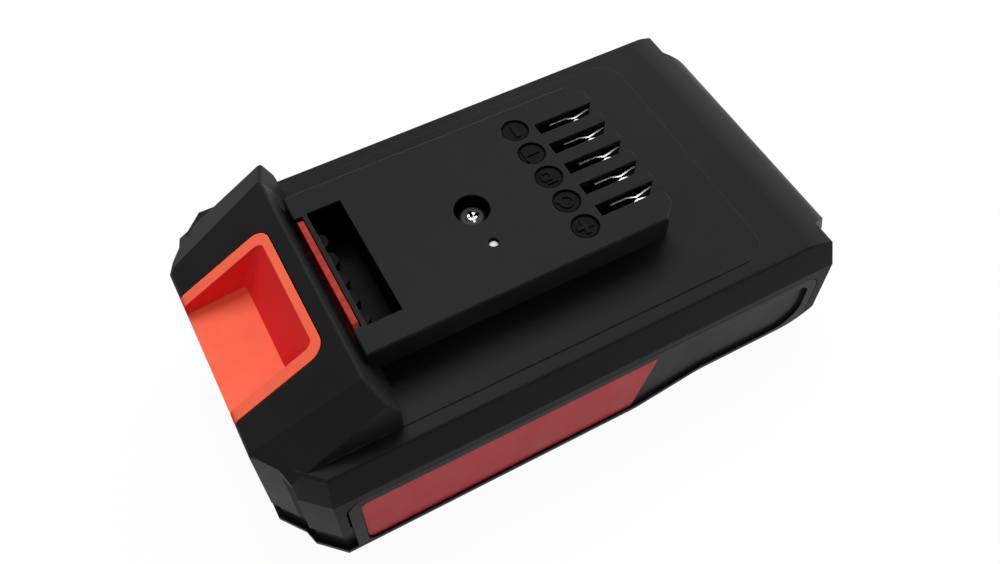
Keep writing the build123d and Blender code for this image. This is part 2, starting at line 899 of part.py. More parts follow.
# Upper housing: deck, hump, rail block and the walls down to the joint line
with BuildPart() as upper_housing:
    add(case_form(0, deck_height - panel_step))
    fillet(faces().sort_by(Axis.Z)[-1].edges(), radius=deck_edge_round)
    panel_rear_x = rear_x - droop_run - panel_rear_gap
    panel_front_x = front_x + cheek_setback + cheek_chamfer_run
    with BuildSketch(Plane.XY.offset(deck_height - panel_step)):
        with Locations(((panel_front_x + panel_rear_x) / 2, 0)):
            Rectangle(panel_rear_x - panel_front_x, 2 * panel_half_width)
        fillet(vertices().group_by(Axis.X)[-1], radius=panel_corner_round)
    extrude(amount=panel_step)
    fade_x = panel_rear_x - panel_fade_run
    fade_points = [
        (fade_x, deck_height),
        (panel_rear_x, deck_height - panel_step + panel_end_step),
        (panel_rear_x, deck_height + overrun),
        (fade_x, deck_height + overrun),
    ]
    add(across(side_profile(fade_points), panel_half_width), mode=Mode.SUBTRACT)
    add(droop_cutter(0), mode=Mode.SUBTRACT)
    add(hump.part)
    add(rail_block.part)
    add(hollow.part, mode=Mode.SUBTRACT)
    # Joint line
    for skirt_end_x, height in ((rear_x, rear_skirt_height), (tab_front_x, front_skirt_height)):
        skirt_x = (front_x - overrun, skirt_end_x + overrun)
        add(block(skirt_x, (-pack_width, pack_width), (-overrun, height)), mode=Mode.SUBTRACT)
    tab_opening = tab_profile(seam_gap, tab_front_gap)
    add(between(tab_opening, half_width - cavity_inset, half_width + overrun), mode=Mode.SUBTRACT)
    # Creases beside the nose
    for side in (-1, 1):
        with BuildSketch(Plane.XY.offset(front_skirt_height)):
            with BuildLine():
                Polyline(
                    (front_x + nose_chamfer_run, side * nose_half_back),
                    (front_x + crease_setback, side * crease_half_width),
                    (front_x + cheek_setback, side * cheek_half_width),
                    (front_x, side * cheek_half_width),
                    close=True,
                )
            make_face()
        extrude(amount=crease_top - front_skirt_height, mode=Mode.SUBTRACT)
    # Window behind the latch bar, with ribs on its front wall
    add(
        block(
            (window_front_x, window_rear_x),
            (-window_half_width, window_half_width),
            (window_floor_height, crest_height + overrun),
        ),
        mode=Mode.SUBTRACT,
    )
    for row in range(window_rib_count):
        rib_y = (row - (window_rib_count - 1) / 2) * window_rib_pitch
        with BuildSketch(Plane.XY.offset(window_floor_height)):
            with Locations((window_front_x, rib_y)):
                Circle(window_rib_radius)
            with Locations((window_front_x - window_rib_radius, rib_y)):
                Rectangle(2 * window_rib_radius, 2 * window_rib_radius, mode=Mode.SUBTRACT)
        extrude(amount=window_rib_top - window_floor_height)
    # Slit for the latch bar and the passage for its arm
    bar_slot_y = (-bar_slot_half_width, bar_slot_half_width)
    for slot_start_x, slot_top in ((rail_front_x, crest_height + overrun), (button_rear_x, arm_roof_height)):
        slot_x = (slot_start_x, bar_slot_rear_x)
        add(block(slot_x, bar_slot_y, (deck_underside, slot_top)), mode=Mode.SUBTRACT)
    # Button opening and the slot for its front in the nose
    add(button_prism(0, apron_height), mode=Mode.SUBTRACT)
    # Contact slots
    for y in slot_places:
        with BuildSketch(Plane.XY.offset(deck_underside)):
            with BuildLine():
                Polyline(
                    (slot_front_x, y - slot_width / 2),
                    (rail_rear_x - slot_mouth_chamfer, y - slot_width / 2),
                    (rail_rear_x, y - slot_width / 2 - slot_mouth_chamfer),
                    (rail_rear_x, y + slot_width / 2 + slot_mouth_chamfer),
                    (rail_rear_x - slot_mouth_chamfer, y + slot_width / 2),
                    (slot_front_x, y + slot_width / 2),
                    close=True,
                )
            make_face()
        extrude(amount=rail_height - deck_underside, mode=Mode.SUBTRACT)
    # Screw well, light hole and the bores for the case screws
    cut_top = crest_height + overrun
    add(post(well_x, 0, well_radius, well_seat_height, cut_top), mode=Mode.SUBTRACT)
    add(post(well_x, 0, screw_radius + screw_clearance, tray_top, cut_top), mode=Mode.SUBTRACT)
    add(post(well_x, light_hole_y, light_hole_radius, deck_underside, cut_top), mode=Mode.SUBTRACT)
    for x, y in boss_places:
        bore_top = boss_split_height + boss_bore_depth
        add(post(x, y, screw_radius + screw_bite_clearance, boss_split_height, bore_top), mode=Mode.SUBTRACT)
    # Round marks, each a shallow disc with a groove round it
    for y in mark_places:
        with BuildSketch(Plane.XY.offset(rail_height)):
            with Locations((mark_x, y)):
                Circle(mark_radius)
        extrude(amount=-mark_depth, mode=Mode.SUBTRACT)
        with BuildSketch(Plane.XY.offset(rail_height)):
            with Locations((mark_x, y)):
                Circle(mark_radius)
                Circle(mark_radius - mark_groove_width, mode=Mode.SUBTRACT)
        extrude(amount=-mark_groove_depth, mode=Mode.SUBTRACT)
    # Raised signs in the marks: plus, ring, square with a bar, tee and minus
    plus_y, ring_y, square_y, tee_y, minus_y = mark_places
    with BuildSketch(Plane.XY.offset(rail_height - mark_depth)):
        with Locations((mark_x, plus_y)):
            Rectangle(mark_span, mark_stroke)
            Rectangle(mark_stroke, mark_span)
        with Locations((mark_x, ring_y)):
            Circle(ring_radius)
            Circle(ring_radius - mark_line, mode=Mode.SUBTRACT)
        with Locations((mark_x - ring_radius, ring_y + ring_radius / 2)):
            Circle(mark_line)
        with Locations((mark_x - mark_line, square_y + mark_line)):
            RectangleRounded(square_side, square_side, mark_line)
            square_hole = square_side - 2 * mark_line
            RectangleRounded(square_hole, square_hole, mark_line / 2, mode=Mode.SUBTRACT)
        with Locations((mark_x + mark_line / 2, square_y - square_side / 2 - mark_line / 2)):
            Rectangle(square_side, mark_line)
        with Locations((mark_x - mark_span / 2 + mark_line / 2, tee_y)):
            Rectangle(mark_line, mark_span)
        with Locations((mark_x, tee_y)):
            Rectangle(mark_span, mark_line)
        with Locations((mark_x, minus_y)):
            Rectangle(mark_stroke, mark_span)
    extrude(amount=mark_relief)
save(upper_housing.part, "upper_housing")


# Sockets on the floor for the legs of the latch support
leg_x = (support_leg_front_x, support_leg_rear_x)
leg_y = both_sides(support_half_width - support_leg_thickness, support_half_width)
socket_top = floor_wall + socket_height
with BuildPart() as sockets:
    for low, high in leg_y:
        grown = socket_gap + socket_wall
        add(block((leg_x[0] - grown, leg_x[1] + grown), (low - grown, high + grown), (0, socket_top)))
    for low, high in leg_y:
        span_x = (leg_x[0] - socket_gap, leg_x[1] + socket_gap)
        add(block(span_x, (low - socket_gap, high + socket_gap), (0, socket_top)), mode=Mode.SUBTRACT)

# Space inside the lower housing, with the bosses, sockets and stop ribs that stand in it left out
inner_y = half_width - cavity_inset
lip_top = front_skirt_height + lip_height
with BuildPart() as room:
    add(slab(cavity_inset, 0, deck_height))
    add(underside(floor_wall), mode=Mode.SUBTRACT)
    add(between(field_profile(floor_wall - rim_height), inner_y, half_width - wall))
    add(sockets.part, mode=Mode.SUBTRACT)
    for x, y in boss_places:
        add(post(x, y, boss_radius, 0, boss_split_height - seat_gap), mode=Mode.SUBTRACT)
    for y_span in both_sides(holder_inner_y, hold_outer_y):
        front_stop = (holder_front_x - stop_gap - stop_thickness, holder_front_x - stop_gap)
        add(block(front_stop, y_span, (0, floor_wall + stop_height)), mode=Mode.SUBTRACT)
        rear_stop = (holder_rear_x + stop_gap, holder_rear_x + stop_gap + stop_thickness)
        add(block(rear_stop, y_span, (0, rear_floor_top + stop_height)), mode=Mode.SUBTRACT)

# Lower housing: rim, recessed band, lip inside the upper housing, side tabs
with BuildPart() as lower_housing:
    add(slab(0, 0, rear_skirt_height - seam_gap))
    add(underside(rim_height), mode=Mode.INTERSECT)
    add(slab(band_inset, 0, front_skirt_height - seam_gap, (front_x, tab_front_x + side_lip_setback)))
    add(slab(band_inset, 0, rear_skirt_height - seam_gap, (tab_rear_x - side_lip_setback, rear_x)))
    add(slab(lip_outer_inset, 0, lip_top))
    add(between(tab_profile(0, 0), inner_y, half_width))
    for y_span in both_sides(inner_y, half_width - lip_outer_inset):
        side_lip_x = (tab_front_x + side_lip_setback, tab_rear_x - side_lip_setback)
        add(block(side_lip_x, y_span, (tab_height / 2, tab_height + side_lip_height)))
    add(room.part, mode=Mode.SUBTRACT)
    add(underside(0), mode=Mode.SUBTRACT)
    add(between(field_profile(0), half_width - field_depth, half_width + overrun), mode=Mode.SUBTRACT)
    for x, y in boss_places:
        seat = seat_height(x)
        add(post(x, y, screw_head_radius + counterbore_clearance, -overrun, seat), mode=Mode.SUBTRACT)
        add(post(x, y, screw_radius + screw_clearance, 0, boss_split_height), mode=Mode.SUBTRACT)
save(lower_housing.part, "lower_housing")

# Labels in the side fields, cut off at a slant towards the rear
label_front_x = tab_front_x + field_front_margin
label_low = rim_height
label_high = tab_height - field_top_margin
for side, name in ((-1, "side_label_left"), (1, "side_label_right")):
    with BuildPart() as label_plate:
        field_floor = half_width - field_depth
        add(between(field_profile(label_margin), field_floor, field_floor + label_thickness))
        with BuildSketch(Plane.XZ):
            with BuildLine():
                Polyline(
                    (front_x, -overrun),
                    (label_front_x + label_run - label_slant_run, -overrun),
                    (label_front_x + label_run - label_slant_run, label_low),
                    (label_front_x + label_run, label_high),
                    (label_front_x + label_run, crest_height),
                    (front_x, crest_height),
                    close=True,
                )
            make_face()
        extrude(amount=pack_width, both=True, mode=Mode.INTERSECT)
        split(bisect_by=Plane(origin=(0, 0, 0), z_dir=(0, -side, 0)), keep=Keep.BOTTOM)
    save(label_plate.part, name)

# Release button: cap with a finger pocket, skirt behind the nose, arm and latch bar
knee = Vector(pocket_knee_x, pocket_knee_height)
pocket_top = Vector(pocket_back_x, pocket_back_height)
pocket_mouth = Vector(front_x, pocket_front_height)
pocket_points = [
    knee + (pocket_mouth - knee) * (1 + pocket_reach_share),
    knee,
    pocket_top + (pocket_top - knee) * pocket_reach_share,
]
pocket_points = [(point.X, point.Y) for point in pocket_points]
pocket_points += [
    (pocket_points[2][0], crest_height + overrun),
    (pocket_points[0][0], crest_height + overrun),
]
with BuildSketch(Plane.XZ) as pocket_profile:
    with BuildLine():
        Polyline(*pocket_points, close=True)
    make_face()
with BuildPart() as pocket:
    extrude(pocket_profile.sketch, amount=pocket_half_width, both=True)
    floor_edges = [
        edge
        for edge in edges()
        if abs(edge.position_at(0).Y - edge.position_at(1).Y) < mark_relief
        and min(edge.position_at(0).Z, edge.position_at(1).Z) < pocket_knee_height + mark_relief
        and abs(edge.position_at(0).X - edge.position_at(1).X) > mark_relief
    ]
    fillet(floor_edges, radius=pocket_corner_round)
with BuildSketch(Plane.XZ) as grown_profile:
    with BuildLine():
        Polyline(*pocket_points, close=True)
    make_face()
    offset(amount=button_wall, kind=Kind.INTERSECTION)

button_back_x = button_rear_x - button_gap
spring_places = [(spring_x, side * spring_y) for side in (-1, 1)]
skirt_x = (front_x + wall + skirt_gap, front_x + wall + skirt_gap + button_wall)
arm_top = arm_roof_height - button_stop_gap
with BuildPart() as button_hollow:
    add(
        block(
            (skirt_x[0], button_back_x - button_wall),
            (-pocket_half_width, pocket_half_width),
            (button_bottom - overrun, crest_height),
        )
    )
    extrude(grown_profile.sketch, amount=pack_width, both=True, mode=Mode.SUBTRACT)
    for x, y in spring_places:
        pad_x = (x - spring_pad_width / 2, x + spring_pad_width / 2)
        pad_y = (y - spring_pad_width / 2, y + spring_pad_width / 2)
        add(block(pad_x, pad_y, (button_bottom, spring_pad_top)), mode=Mode.SUBTRACT)
with BuildPart() as release_button:
    add(hump.part)
    add(button_prism(button_gap, button_bottom), mode=Mode.INTERSECT)
    add(button_hollow.part, mode=Mode.SUBTRACT)
    add(pocket.part, mode=Mode.SUBTRACT)
    add(block(skirt_x, (-skirt_half_width, skirt_half_width), (skirt_bottom, button_bottom)))
    add(block(skirt_x, (-pocket_half_width, pocket_half_width), (skirt_bottom, pocket_front_height)))
    for x, y in spring_places:
        add(post(x, y, support_post_radius, button_bottom - spring_pin_length, button_bottom))
    add(
        block(
            (button_back_x - button_wall, bar_rear_x),
            (-arm_half_width, arm_half_width),
            (arm_top - arm_thickness, arm_top),
        )
    )
    with BuildSketch(Plane.YZ.offset(bar_front_x)):
        with BuildLine():
            Polyline(
                (-bar_half_width, arm_top - arm_thickness),
                (-bar_half_width, rail_height - bar_end_chamfer),
                (-bar_half_width + bar_end_chamfer, rail_height),
                (bar_half_width - bar_end_chamfer, rail_height),
                (bar_half_width, rail_height - bar_end_chamfer),
                (bar_half_width, arm_top - arm_thickness),
                close=True,
            )
        make_face()
    extrude(amount=bar_rear_x - bar_front_x)
save(release_button.part, "release_button")

# Latch support: bridge on two legs, with a post for each spring
with BuildPart() as latch_support:
    add(
        block(
            (support_front_x, support_rear_x),
            (-support_half_width, support_half_width),
            (support_top - support_thickness, support_top),
        )
    )
    for y_span in leg_y:
        add(block(leg_x, y_span, (floor_wall + seat_gap, support_top)))
    for x, y in spring_places:
        add(post(x, y, support_post_radius, support_top, support_top + support_post_height))
save(latch_support.part, "latch_support")

# Return springs of the button
for (x, y), name in zip(spring_places, ("latch_spring_left", "latch_spring_right")):
    with BuildPart() as latch_spring:
        add(post(x, y, spring_radius + spring_wire_radius, support_top, button_bottom))
        add(
            post(x, y, spring_radius - spring_wire_radius, support_top, button_bottom),
            mode=Mode.SUBTRACT,
        )
    save(latch_spring.part, name)

# Cells, each turned end for end against its neighbour
for row, x in enumerate(cell_places):
    facing = -1 if row % 2 else 1
    with BuildPart() as cell:
        with BuildSketch(Plane.XZ.offset(-cell_length / 2)):
            with Locations((x, cell_axis_z)):
                Circle(cell_radius)
        extrude(amount=cell_length)
        fillet(edges().filter_by(GeomType.CIRCLE), radius=cell_edge_round)
        groove_y = facing * (cell_length / 2 - cell_groove_setback)
        with BuildSketch(Plane.XZ.offset(-groove_y - cell_groove_width / 2)):
            with Locations((x, cell_axis_z)):
                Circle(cell_radius)
                Circle(cell_radius - cell_groove_depth, mode=Mode.SUBTRACT)
        extrude(amount=cell_groove_width, mode=Mode.SUBTRACT)
        well_start = cell_length / 2 if facing > 0 else cell_button_height - cell_length / 2
        with BuildSketch(Plane.XZ.offset(-well_start)):
            with Locations((x, cell_axis_z)):
                Circle(cell_radius - cell_groove_width)
                Circle(cell_button_radius, mode=Mode.SUBTRACT)
        extrude(amount=cell_button_height, mode=Mode.SUBTRACT)
    save(cell.part, f"cell_{row + 1}")

# Holders at the ends of the cells
for (low, high), name in zip(
    both_sides(holder_inner_y, holder_outer_y), ("cell_holder_left", "cell_holder_right")
):
    with BuildPart() as cell_holder:
        add(block((holder_front_x, holder_rear_x), (low, high), (holder_bottom, holder_top)))
        foot_x = (holder_front_x + holder_foot_inset, holder_foot_rear_x)
        foot_y = (low + holder_end_wall, high - holder_foot_inset)
        add(block(foot_x, foot_y, (floor_wall + seat_gap, holder_bottom)))
        with BuildSketch(Plane.XZ.offset(-high - overrun)):
            with Locations(*[(x, cell_axis_z) for x in cell_places]):
                Circle(cell_radius + holder_gap)
        extrude(amount=high - low + 2 * overrun, mode=Mode.SUBTRACT)
    save(cell_holder.part, name)

# Nickel strips that join the cells in a row, each with a tab for its lead
strip_y = (holder_outer_y + strip_gap, holder_outer_y + strip_gap + strip_thickness)
strips_left = [(0, 1), (2, 3), (4, 4)]
strips_right = [(0, 0), (1, 2), (3, 4)]
strip_rows = ((-1, strips_left, "nickel_strips_left"), (1, strips_right, "nickel_strips_right"))
for side, groups, name in strip_rows:
    y_span = sorted((side * strip_y[0], side * strip_y[1]))
    with BuildPart() as nickel_strips:
        for first, last in groups:
            x_span = (cell_places[first] - strip_end, cell_places[last] + strip_end)
            add(block(x_span, y_span, (cell_axis_z - strip_width / 2, cell_axis_z + strip_width / 2)))
            tab_x = (cell_places[first] + cell_places[last]) / 2
            tab_span = (tab_x - strip_tab_width / 2, tab_x + strip_tab_width / 2)
            add(block(tab_span, y_span, (cell_axis_z, holder_top + strip_tab_rise)))
    save(nickel_strips.part, name)

# Insulation sheets over the strips
sheet_y = (strip_y[1] + sheet_gap, strip_y[1] + sheet_gap + sheet_thickness)
for y_span, name in zip(both_sides(*sheet_y), ("insulation_left", "insulation_right")):
    with BuildPart() as insulation:
        add(
            block(
                (holder_front_x + sheet_margin, holder_rear_x - sheet_margin),
                y_span,
                (holder_bottom + sheet_margin, holder_top - sheet_margin),
            )
        )
    save(insulation.part, name)

# Tray on the cells, with a boss for the centre screw and pegs for the board
peg_y = board_half_width - tray_peg_inset
peg_x = (board_front_x + tray_peg_setback, board_rear_x - tray_peg_setback)
peg_places = [(x, side * peg_y) for x in peg_x for side in (-1, 1)]
with BuildPart() as board_tray:
    add(block((tray_front_x, tray_rear_x), (-tray_half_width, tray_half_width), (holder_top, tray_top)))
    add(post(well_x, 0, tray_boss_radius, holder_top - tray_boss_depth, tray_top))
    for x, y in peg_places:
        add(post(x, y, tray_peg_radius, holder_top, tray_top + tray_peg_height))
    add(
        post(well_x, 0, screw_radius + screw_bite_clearance, holder_top - overrun, tray_top),
        mode=Mode.SUBTRACT,
    )
save(board_tray.part, "board_tray")

# Terminals: two leaves folded from one strip, nearly meeting where the tool's blade enters
heel_y = terminal_heel_half_gap + terminal_leaf_thickness / 2
meet_y = terminal_meet_half_gap / 2 + terminal_leaf_thickness / 2
mouth_y = terminal_mouth_half_gap + terminal_leaf_thickness / 2
base_rear_x = terminal_front_x + slot_length * terminal_base_share
heel_x = terminal_front_x + terminal_leaf_thickness / 2
terminal_half_line = [
    (heel_x, heel_y),
    (base_rear_x, heel_y),
    (terminal_meet_x, meet_y),
    (terminal_mouth_x, mouth_y),
]
pin_places = [
    (base_rear_x - terminal_pin_setback, heel_y),
    (terminal_front_x + terminal_pin_setback, -heel_y),
]
terminal_names = (
    "terminal_positive",
    "terminal_signal_1",
    "terminal_signal_2",
    "terminal_signal_3",
    "terminal_negative",
)
for y, name in zip(slot_places, terminal_names):
    heel_line = [(px, y + py) for px, py in reversed(terminal_half_line[:2])]
    heel_line += [(px, y - py) for px, py in terminal_half_line[:2]]
    with BuildPart() as terminal:
        for side in (-1, 1):
            with BuildSketch(Plane.XY.offset(carrier_rib_top + seat_gap)):
                with BuildLine():
                    Polyline(*[(px, y + side * py) for px, py in terminal_half_line])
                trace(line_width=terminal_leaf_thickness)
            extrude(amount=rail_height - terminal_top_gap - carrier_rib_top - seat_gap)
        with BuildSketch(Plane.XY.offset(board_top)):
            with BuildLine():
                Polyline(*heel_line)
            trace(line_width=terminal_leaf_thickness)
        extrude(amount=carrier_rib_top + 2 * seat_gap - board_top)
        for px, py in pin_places:
            add(
                block(
                    (px - terminal_pin_size / 2, px + terminal_pin_size / 2),
                    (y + py - terminal_leaf_thickness / 2, y + py + terminal_leaf_thickness / 2),
                    (board_top - terminal_pin_depth, board_top + seat_gap),
                )
            )
    save(terminal.part, name)

# Carrier that holds the terminals upright in the contact slots
with BuildPart() as contact_carrier:
    add(
        block(
            (carrier_front_x, carrier_rear_x),
            (-carrier_half_width, carrier_half_width),
            (board_top, carrier_base_top),
        )
    )
    for y in slot_places:
        rib_x = (slot_front_x + carrier_rib_front_gap, rail_rear_x - carrier_rib_rear_gap)
        rib_y = (y - slot_width / 2 + carrier_rib_gap, y + slot_width / 2 - carrier_rib_gap)
        add(block(rib_x, rib_y, (board_top, carrier_rib_top)))
    for y in slot_places:
        grown = terminal_leaf_thickness + terminal_pin_gap
        shaft_x = (terminal_front_x - terminal_pin_gap, base_rear_x + terminal_pin_gap)
        shaft_y = (y - terminal_heel_half_gap - grown, y + terminal_heel_half_gap + grown)
        add(block(shaft_x, shaft_y, (board_top, carrier_rib_top)), mode=Mode.SUBTRACT)
save(contact_carrier.part, "contact_carrier")

# Circuit board with holes for the pegs, the screw boss and the terminal pins
with BuildPart() as circuit_board:
    with BuildSketch(Plane.XY.offset(tray_top)):
        with Locations(((board_front_x + board_rear_x) / 2, 0)):
            RectangleRounded(board_rear_x - board_front_x, 2 * board_half_width, board_corner_round)
        with Locations((well_x, 0)):
            Circle(well_tube_radius + board_hole_gap, mode=Mode.SUBTRACT)
        with Locations(*peg_places):
            Circle(tray_peg_radius + board_hole_gap, mode=Mode.SUBTRACT)
        with Locations(*[(px, y + py) for y in slot_places for px, py in pin_places]):
            Circle(pin_hole_radius, mode=Mode.SUBTRACT)
    extrude(amount=board_thickness)
save(circuit_board.part, "circuit_board")

# Centre screw in the well, through the board into the tray
with BuildPart() as centre_screw:
    add(post(well_x, 0, centre_head_radius, well_seat_height, well_seat_height + centre_head_height))
    fillet(edges().group_by(Axis.Z)[-1], radius=centre_head_round)
    add(post(well_x, 0, screw_radius, well_seat_height - centre_screw_length, well_seat_height))
    with BuildSketch(Plane.XY.offset(well_seat_height + centre_head_height)):
        with Locations((well_x, 0)):
            Rectangle(driver_cross_span, driver_cross_width)
            Rectangle(driver_cross_width, driver_cross_span)
    extrude(amount=-driver_cross_depth, mode=Mode.SUBTRACT)
save(centre_screw.part, "centre_screw")

# Case screws, put in from below
with BuildPart() as case_screws:
    for x, y in boss_places:
        seat = seat_height(x)
        add(post(x, y, screw_head_radius, seat - screw_head_height, seat))
        add(post(x, y, screw_radius, seat, seat + screw_length))
        with BuildSketch(Plane.XY.offset(seat - screw_head_height)):
            with Locations((x, y)):
                Rectangle(driver_cross_span, driver_cross_width)
                Rectangle(driver_cross_width, driver_cross_span)
        extrude(amount=driver_cross_depth, mode=Mode.SUBTRACT)
save(case_screws.part, "case_screws")

# Light pipe over the status light
led_top = board_top + led_height
pipe_top = rail_height - pipe_setback
flange_top = rail_height - roof_wall - seat_gap
with BuildPart() as light_pipe:
    add(post(well_x, light_hole_y, pipe_radius, led_top + pipe_led_gap, pipe_top))
    fillet(edges().group_by(Axis.Z)[-1], radius=pipe_tip_round)
    add(post(well_x, light_hole_y, pipe_flange_radius, flange_top - pipe_flange_thickness, flange_top))
save(light_pipe.part, "light_pipe")

with BuildPart() as status_led:
    add(
        block(
            (well_x - led_length / 2, well_x + led_length / 2),
            (light_hole_y - led_width / 2, light_hole_y + led_width / 2),
            (board_top, led_top),
        )
    )
save(status_led.part, "status_led")

# Controller chip with leads on two sides
with BuildPart() as controller_chip:
    add(
        block(
            (chip_x - chip_size / 2, chip_x + chip_size / 2),
            (chip_y - chip_size / 2, chip_y + chip_size / 2),
            (board_top + chip_lead_height / 2, board_top + chip_lead_height / 2 + chip_height),
        )
    )
    for row in range(chip_lead_count):
        lead_y = chip_y + (row - (chip_lead_count - 1) / 2) * chip_lead_pitch
        reach = chip_size / 2 + chip_lead_length
        lead_span = (lead_y - chip_lead_width / 2, lead_y + chip_lead_width / 2)
        add(block((chip_x - reach, chip_x + reach), lead_span, (board_top, board_top + chip_lead_height)))
save(controller_chip.part, "controller_chip")

# Power transistors in a row, each with its tab
with BuildPart() as power_transistors:
    for row in range(transistor_count):
        y = (row - (transistor_count - 1) / 2) * transistor_pitch
        body_x = (transistor_x - transistor_length / 2, transistor_x + transistor_length / 2)
        body_y = (y - transistor_width / 2, y + transistor_width / 2)
        add(block(body_x, body_y, (board_top, board_top + transistor_height)))
        tab_span = (body_x[1], body_x[1] + transistor_tab_length)
        add(block(tab_span, body_y, (board_top, board_top + transistor_tab_height)))
save(power_transistors.part, "power_transistors")

# Fuse with two end caps
with BuildPart() as fuse:
    fuse_span = (fuse_x - fuse_length / 2, fuse_x + fuse_length / 2)
    fuse_side = (fuse_y - fuse_width / 2, fuse_y + fuse_width / 2)
    body_low = board_top + fuse_cap_proud
    add(block(fuse_span, fuse_side, (body_low, body_low + fuse_height)))
    for cap_span in (
        (fuse_span[0], fuse_span[0] + fuse_cap_length),
        (fuse_span[1] - fuse_cap_length, fuse_span[1]),
    ):
        cap_side = (fuse_side[0] - fuse_cap_proud, fuse_side[1] + fuse_cap_proud)
        add(block(cap_span, cap_side, (board_top, body_low + fuse_height + fuse_cap_proud)))
save(fuse.part, "fuse")

# Capacitors, upright cans on square bases
with BuildPart() as capacitors:
    for row in range(capacitor_count):
        x = capacitor_x + row * capacitor_pitch
        base_x = (x - capacitor_radius, x + capacitor_radius)
        base_y = (capacitor_y - capacitor_radius, capacitor_y + capacitor_radius)
        can_top = board_top + capacitor_height
        add(block(base_x, base_y, (board_top, board_top + capacitor_base_height)))
        can_radius = capacitor_radius - board_hole_gap
        add(post(x, capacitor_y, can_radius, board_top + capacitor_base_height, can_top))
save(capacitors.part, "capacitors")

with BuildPart() as shunt_resistor:
    add(
        block(
            (shunt_x - shunt_length / 2, shunt_x + shunt_length / 2),
            (shunt_y - shunt_width / 2, shunt_y + shunt_width / 2),
            (board_top, board_top + shunt_height),
        )
    )
save(shunt_resistor.part, "shunt_resistor")

# Thermistor bead on the tray, with two wires to the board
bead_z = tray_top + thermistor_bead_radius + lead_gap
wire_z = board_top + thermistor_wire_radius + lead_gap
with BuildPart() as thermistor:
    with Locations((thermistor_x, thermistor_y, bead_z)):
        Sphere(thermistor_bead_radius)
    with BuildSketch(Plane.XZ.offset(-thermistor_y)):
        with Locations(
            (thermistor_x - thermistor_wire_gap / 2, wire_z),
            (thermistor_x + thermistor_wire_gap / 2, wire_z),
        ):
            Circle(thermistor_wire_radius)
    extrude(amount=thermistor_y - sense_end_y)
save(thermistor.part, "thermistor")


def wire(points, bend_radius, radius):
    """Round wire along a line with rounded corners, starting square to the pack's side."""
    with BuildPart() as strand:
        with BuildLine() as path:
            FilletPolyline(*points, radius=bend_radius)
        with BuildSketch(Plane(origin=path.line @ 0, z_dir=path.line % 0)):
            Circle(radius)
        sweep(path=path.line)
    return strand.part


# Power leads from the end cells to the board
lead_start_y = strip_y[0] - lead_gap / 2
lead_z = board_top + lead_radius + lead_gap
for side, start_x, end_x, name in (
    (1, cell_places[0], lead_negative_x, "power_lead_negative"),
    (-1, cell_places[-1], lead_positive_x, "power_lead_positive"),
):
    with BuildPart() as power_lead:
        add(
            wire(
                [
                    (start_x, side * lead_start_y, lead_z),
                    (start_x, side * lead_turn_y, lead_z),
                    (end_x, side * lead_turn_y, lead_z),
                    (end_x, side * lead_end_y, lead_z),
                ],
                lead_bend_radius,
                lead_radius,
            )
        )
    save(power_lead.part, name)

# Sense leads from the joints between the cells to the board
sense_z = board_top + sense_radius + lead_gap
sense_joints = ((-1, 0, 1), (1, 1, 2), (-1, 2, 3), (1, 3, 4))
sense_places = [(side, (cell_places[a] + cell_places[b]) / 2) for side, a, b in sense_joints]
with BuildPart() as sense_leads:
    for side, x in sense_places:
        add(
            wire(
                [
                    (x, side * lead_start_y, sense_z),
                    (x, side * sense_dip_high_y, sense_z),
                    (x, side * (sense_dip_high_y + sense_dip_low_y) / 2, sense_z - sense_dip),
                    (x, side * sense_dip_low_y, sense_z),
                    (x, side * sense_end_y, sense_z),
                ],
                sense_bend_radius,
                sense_radius,
            )
        )
save(sense_leads.part, "sense_leads")
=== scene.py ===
"""Dresses the slide-on battery pack: its finishes, the wound springs, and the studio round it.

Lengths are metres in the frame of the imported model, +Z up, with the pack standing on Z = 0.
-X is the front with the release button, and +X is the end that slides into the tool.
"""

import json
import logging
import math
from dataclasses import dataclass
from enum import Enum

import bpy
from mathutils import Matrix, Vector

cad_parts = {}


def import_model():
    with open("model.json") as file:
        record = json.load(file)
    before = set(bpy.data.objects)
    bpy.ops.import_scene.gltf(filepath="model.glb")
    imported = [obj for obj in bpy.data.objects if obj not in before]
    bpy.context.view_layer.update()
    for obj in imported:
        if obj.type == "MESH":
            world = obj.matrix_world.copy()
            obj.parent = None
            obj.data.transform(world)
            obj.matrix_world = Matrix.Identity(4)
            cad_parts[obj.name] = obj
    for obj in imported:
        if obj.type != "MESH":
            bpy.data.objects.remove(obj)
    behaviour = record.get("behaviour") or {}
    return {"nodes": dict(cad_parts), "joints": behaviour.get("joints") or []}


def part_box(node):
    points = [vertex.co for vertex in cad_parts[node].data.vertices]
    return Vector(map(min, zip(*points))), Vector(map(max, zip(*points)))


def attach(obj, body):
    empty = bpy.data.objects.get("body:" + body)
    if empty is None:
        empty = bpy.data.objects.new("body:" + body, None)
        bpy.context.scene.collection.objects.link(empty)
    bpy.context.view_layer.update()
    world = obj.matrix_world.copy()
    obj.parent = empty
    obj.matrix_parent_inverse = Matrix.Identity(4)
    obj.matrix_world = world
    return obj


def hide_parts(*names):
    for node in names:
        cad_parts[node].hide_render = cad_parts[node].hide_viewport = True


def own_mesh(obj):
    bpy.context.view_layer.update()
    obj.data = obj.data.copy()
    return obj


MM = 0.001
LOG = logging.getLogger("battery_pack")

Colour = tuple[float, float, float]
Point = tuple[float, float, float]
Range = tuple[float, float]
Socket = bpy.types.NodeSocket
Piece = bpy.types.Object

# Parts of a pattern's values that a finish spreads out, and what they are spread to by default.
BROAD: Range = (0.3, 0.7)
MIDDLE: Range = (0.35, 0.65)
HIGH: Range = (0.4, 0.7)
OFF_TO_ON: Range = (0.0, 1.0)

# The curve between a colour as it is seen and its linear value.
TOP_LEVEL = 255
TOE_END = 0.04045
TOE_SLOPE = 12.92
CURVE_SHIFT = 0.055
CURVE_POWER = 2.4

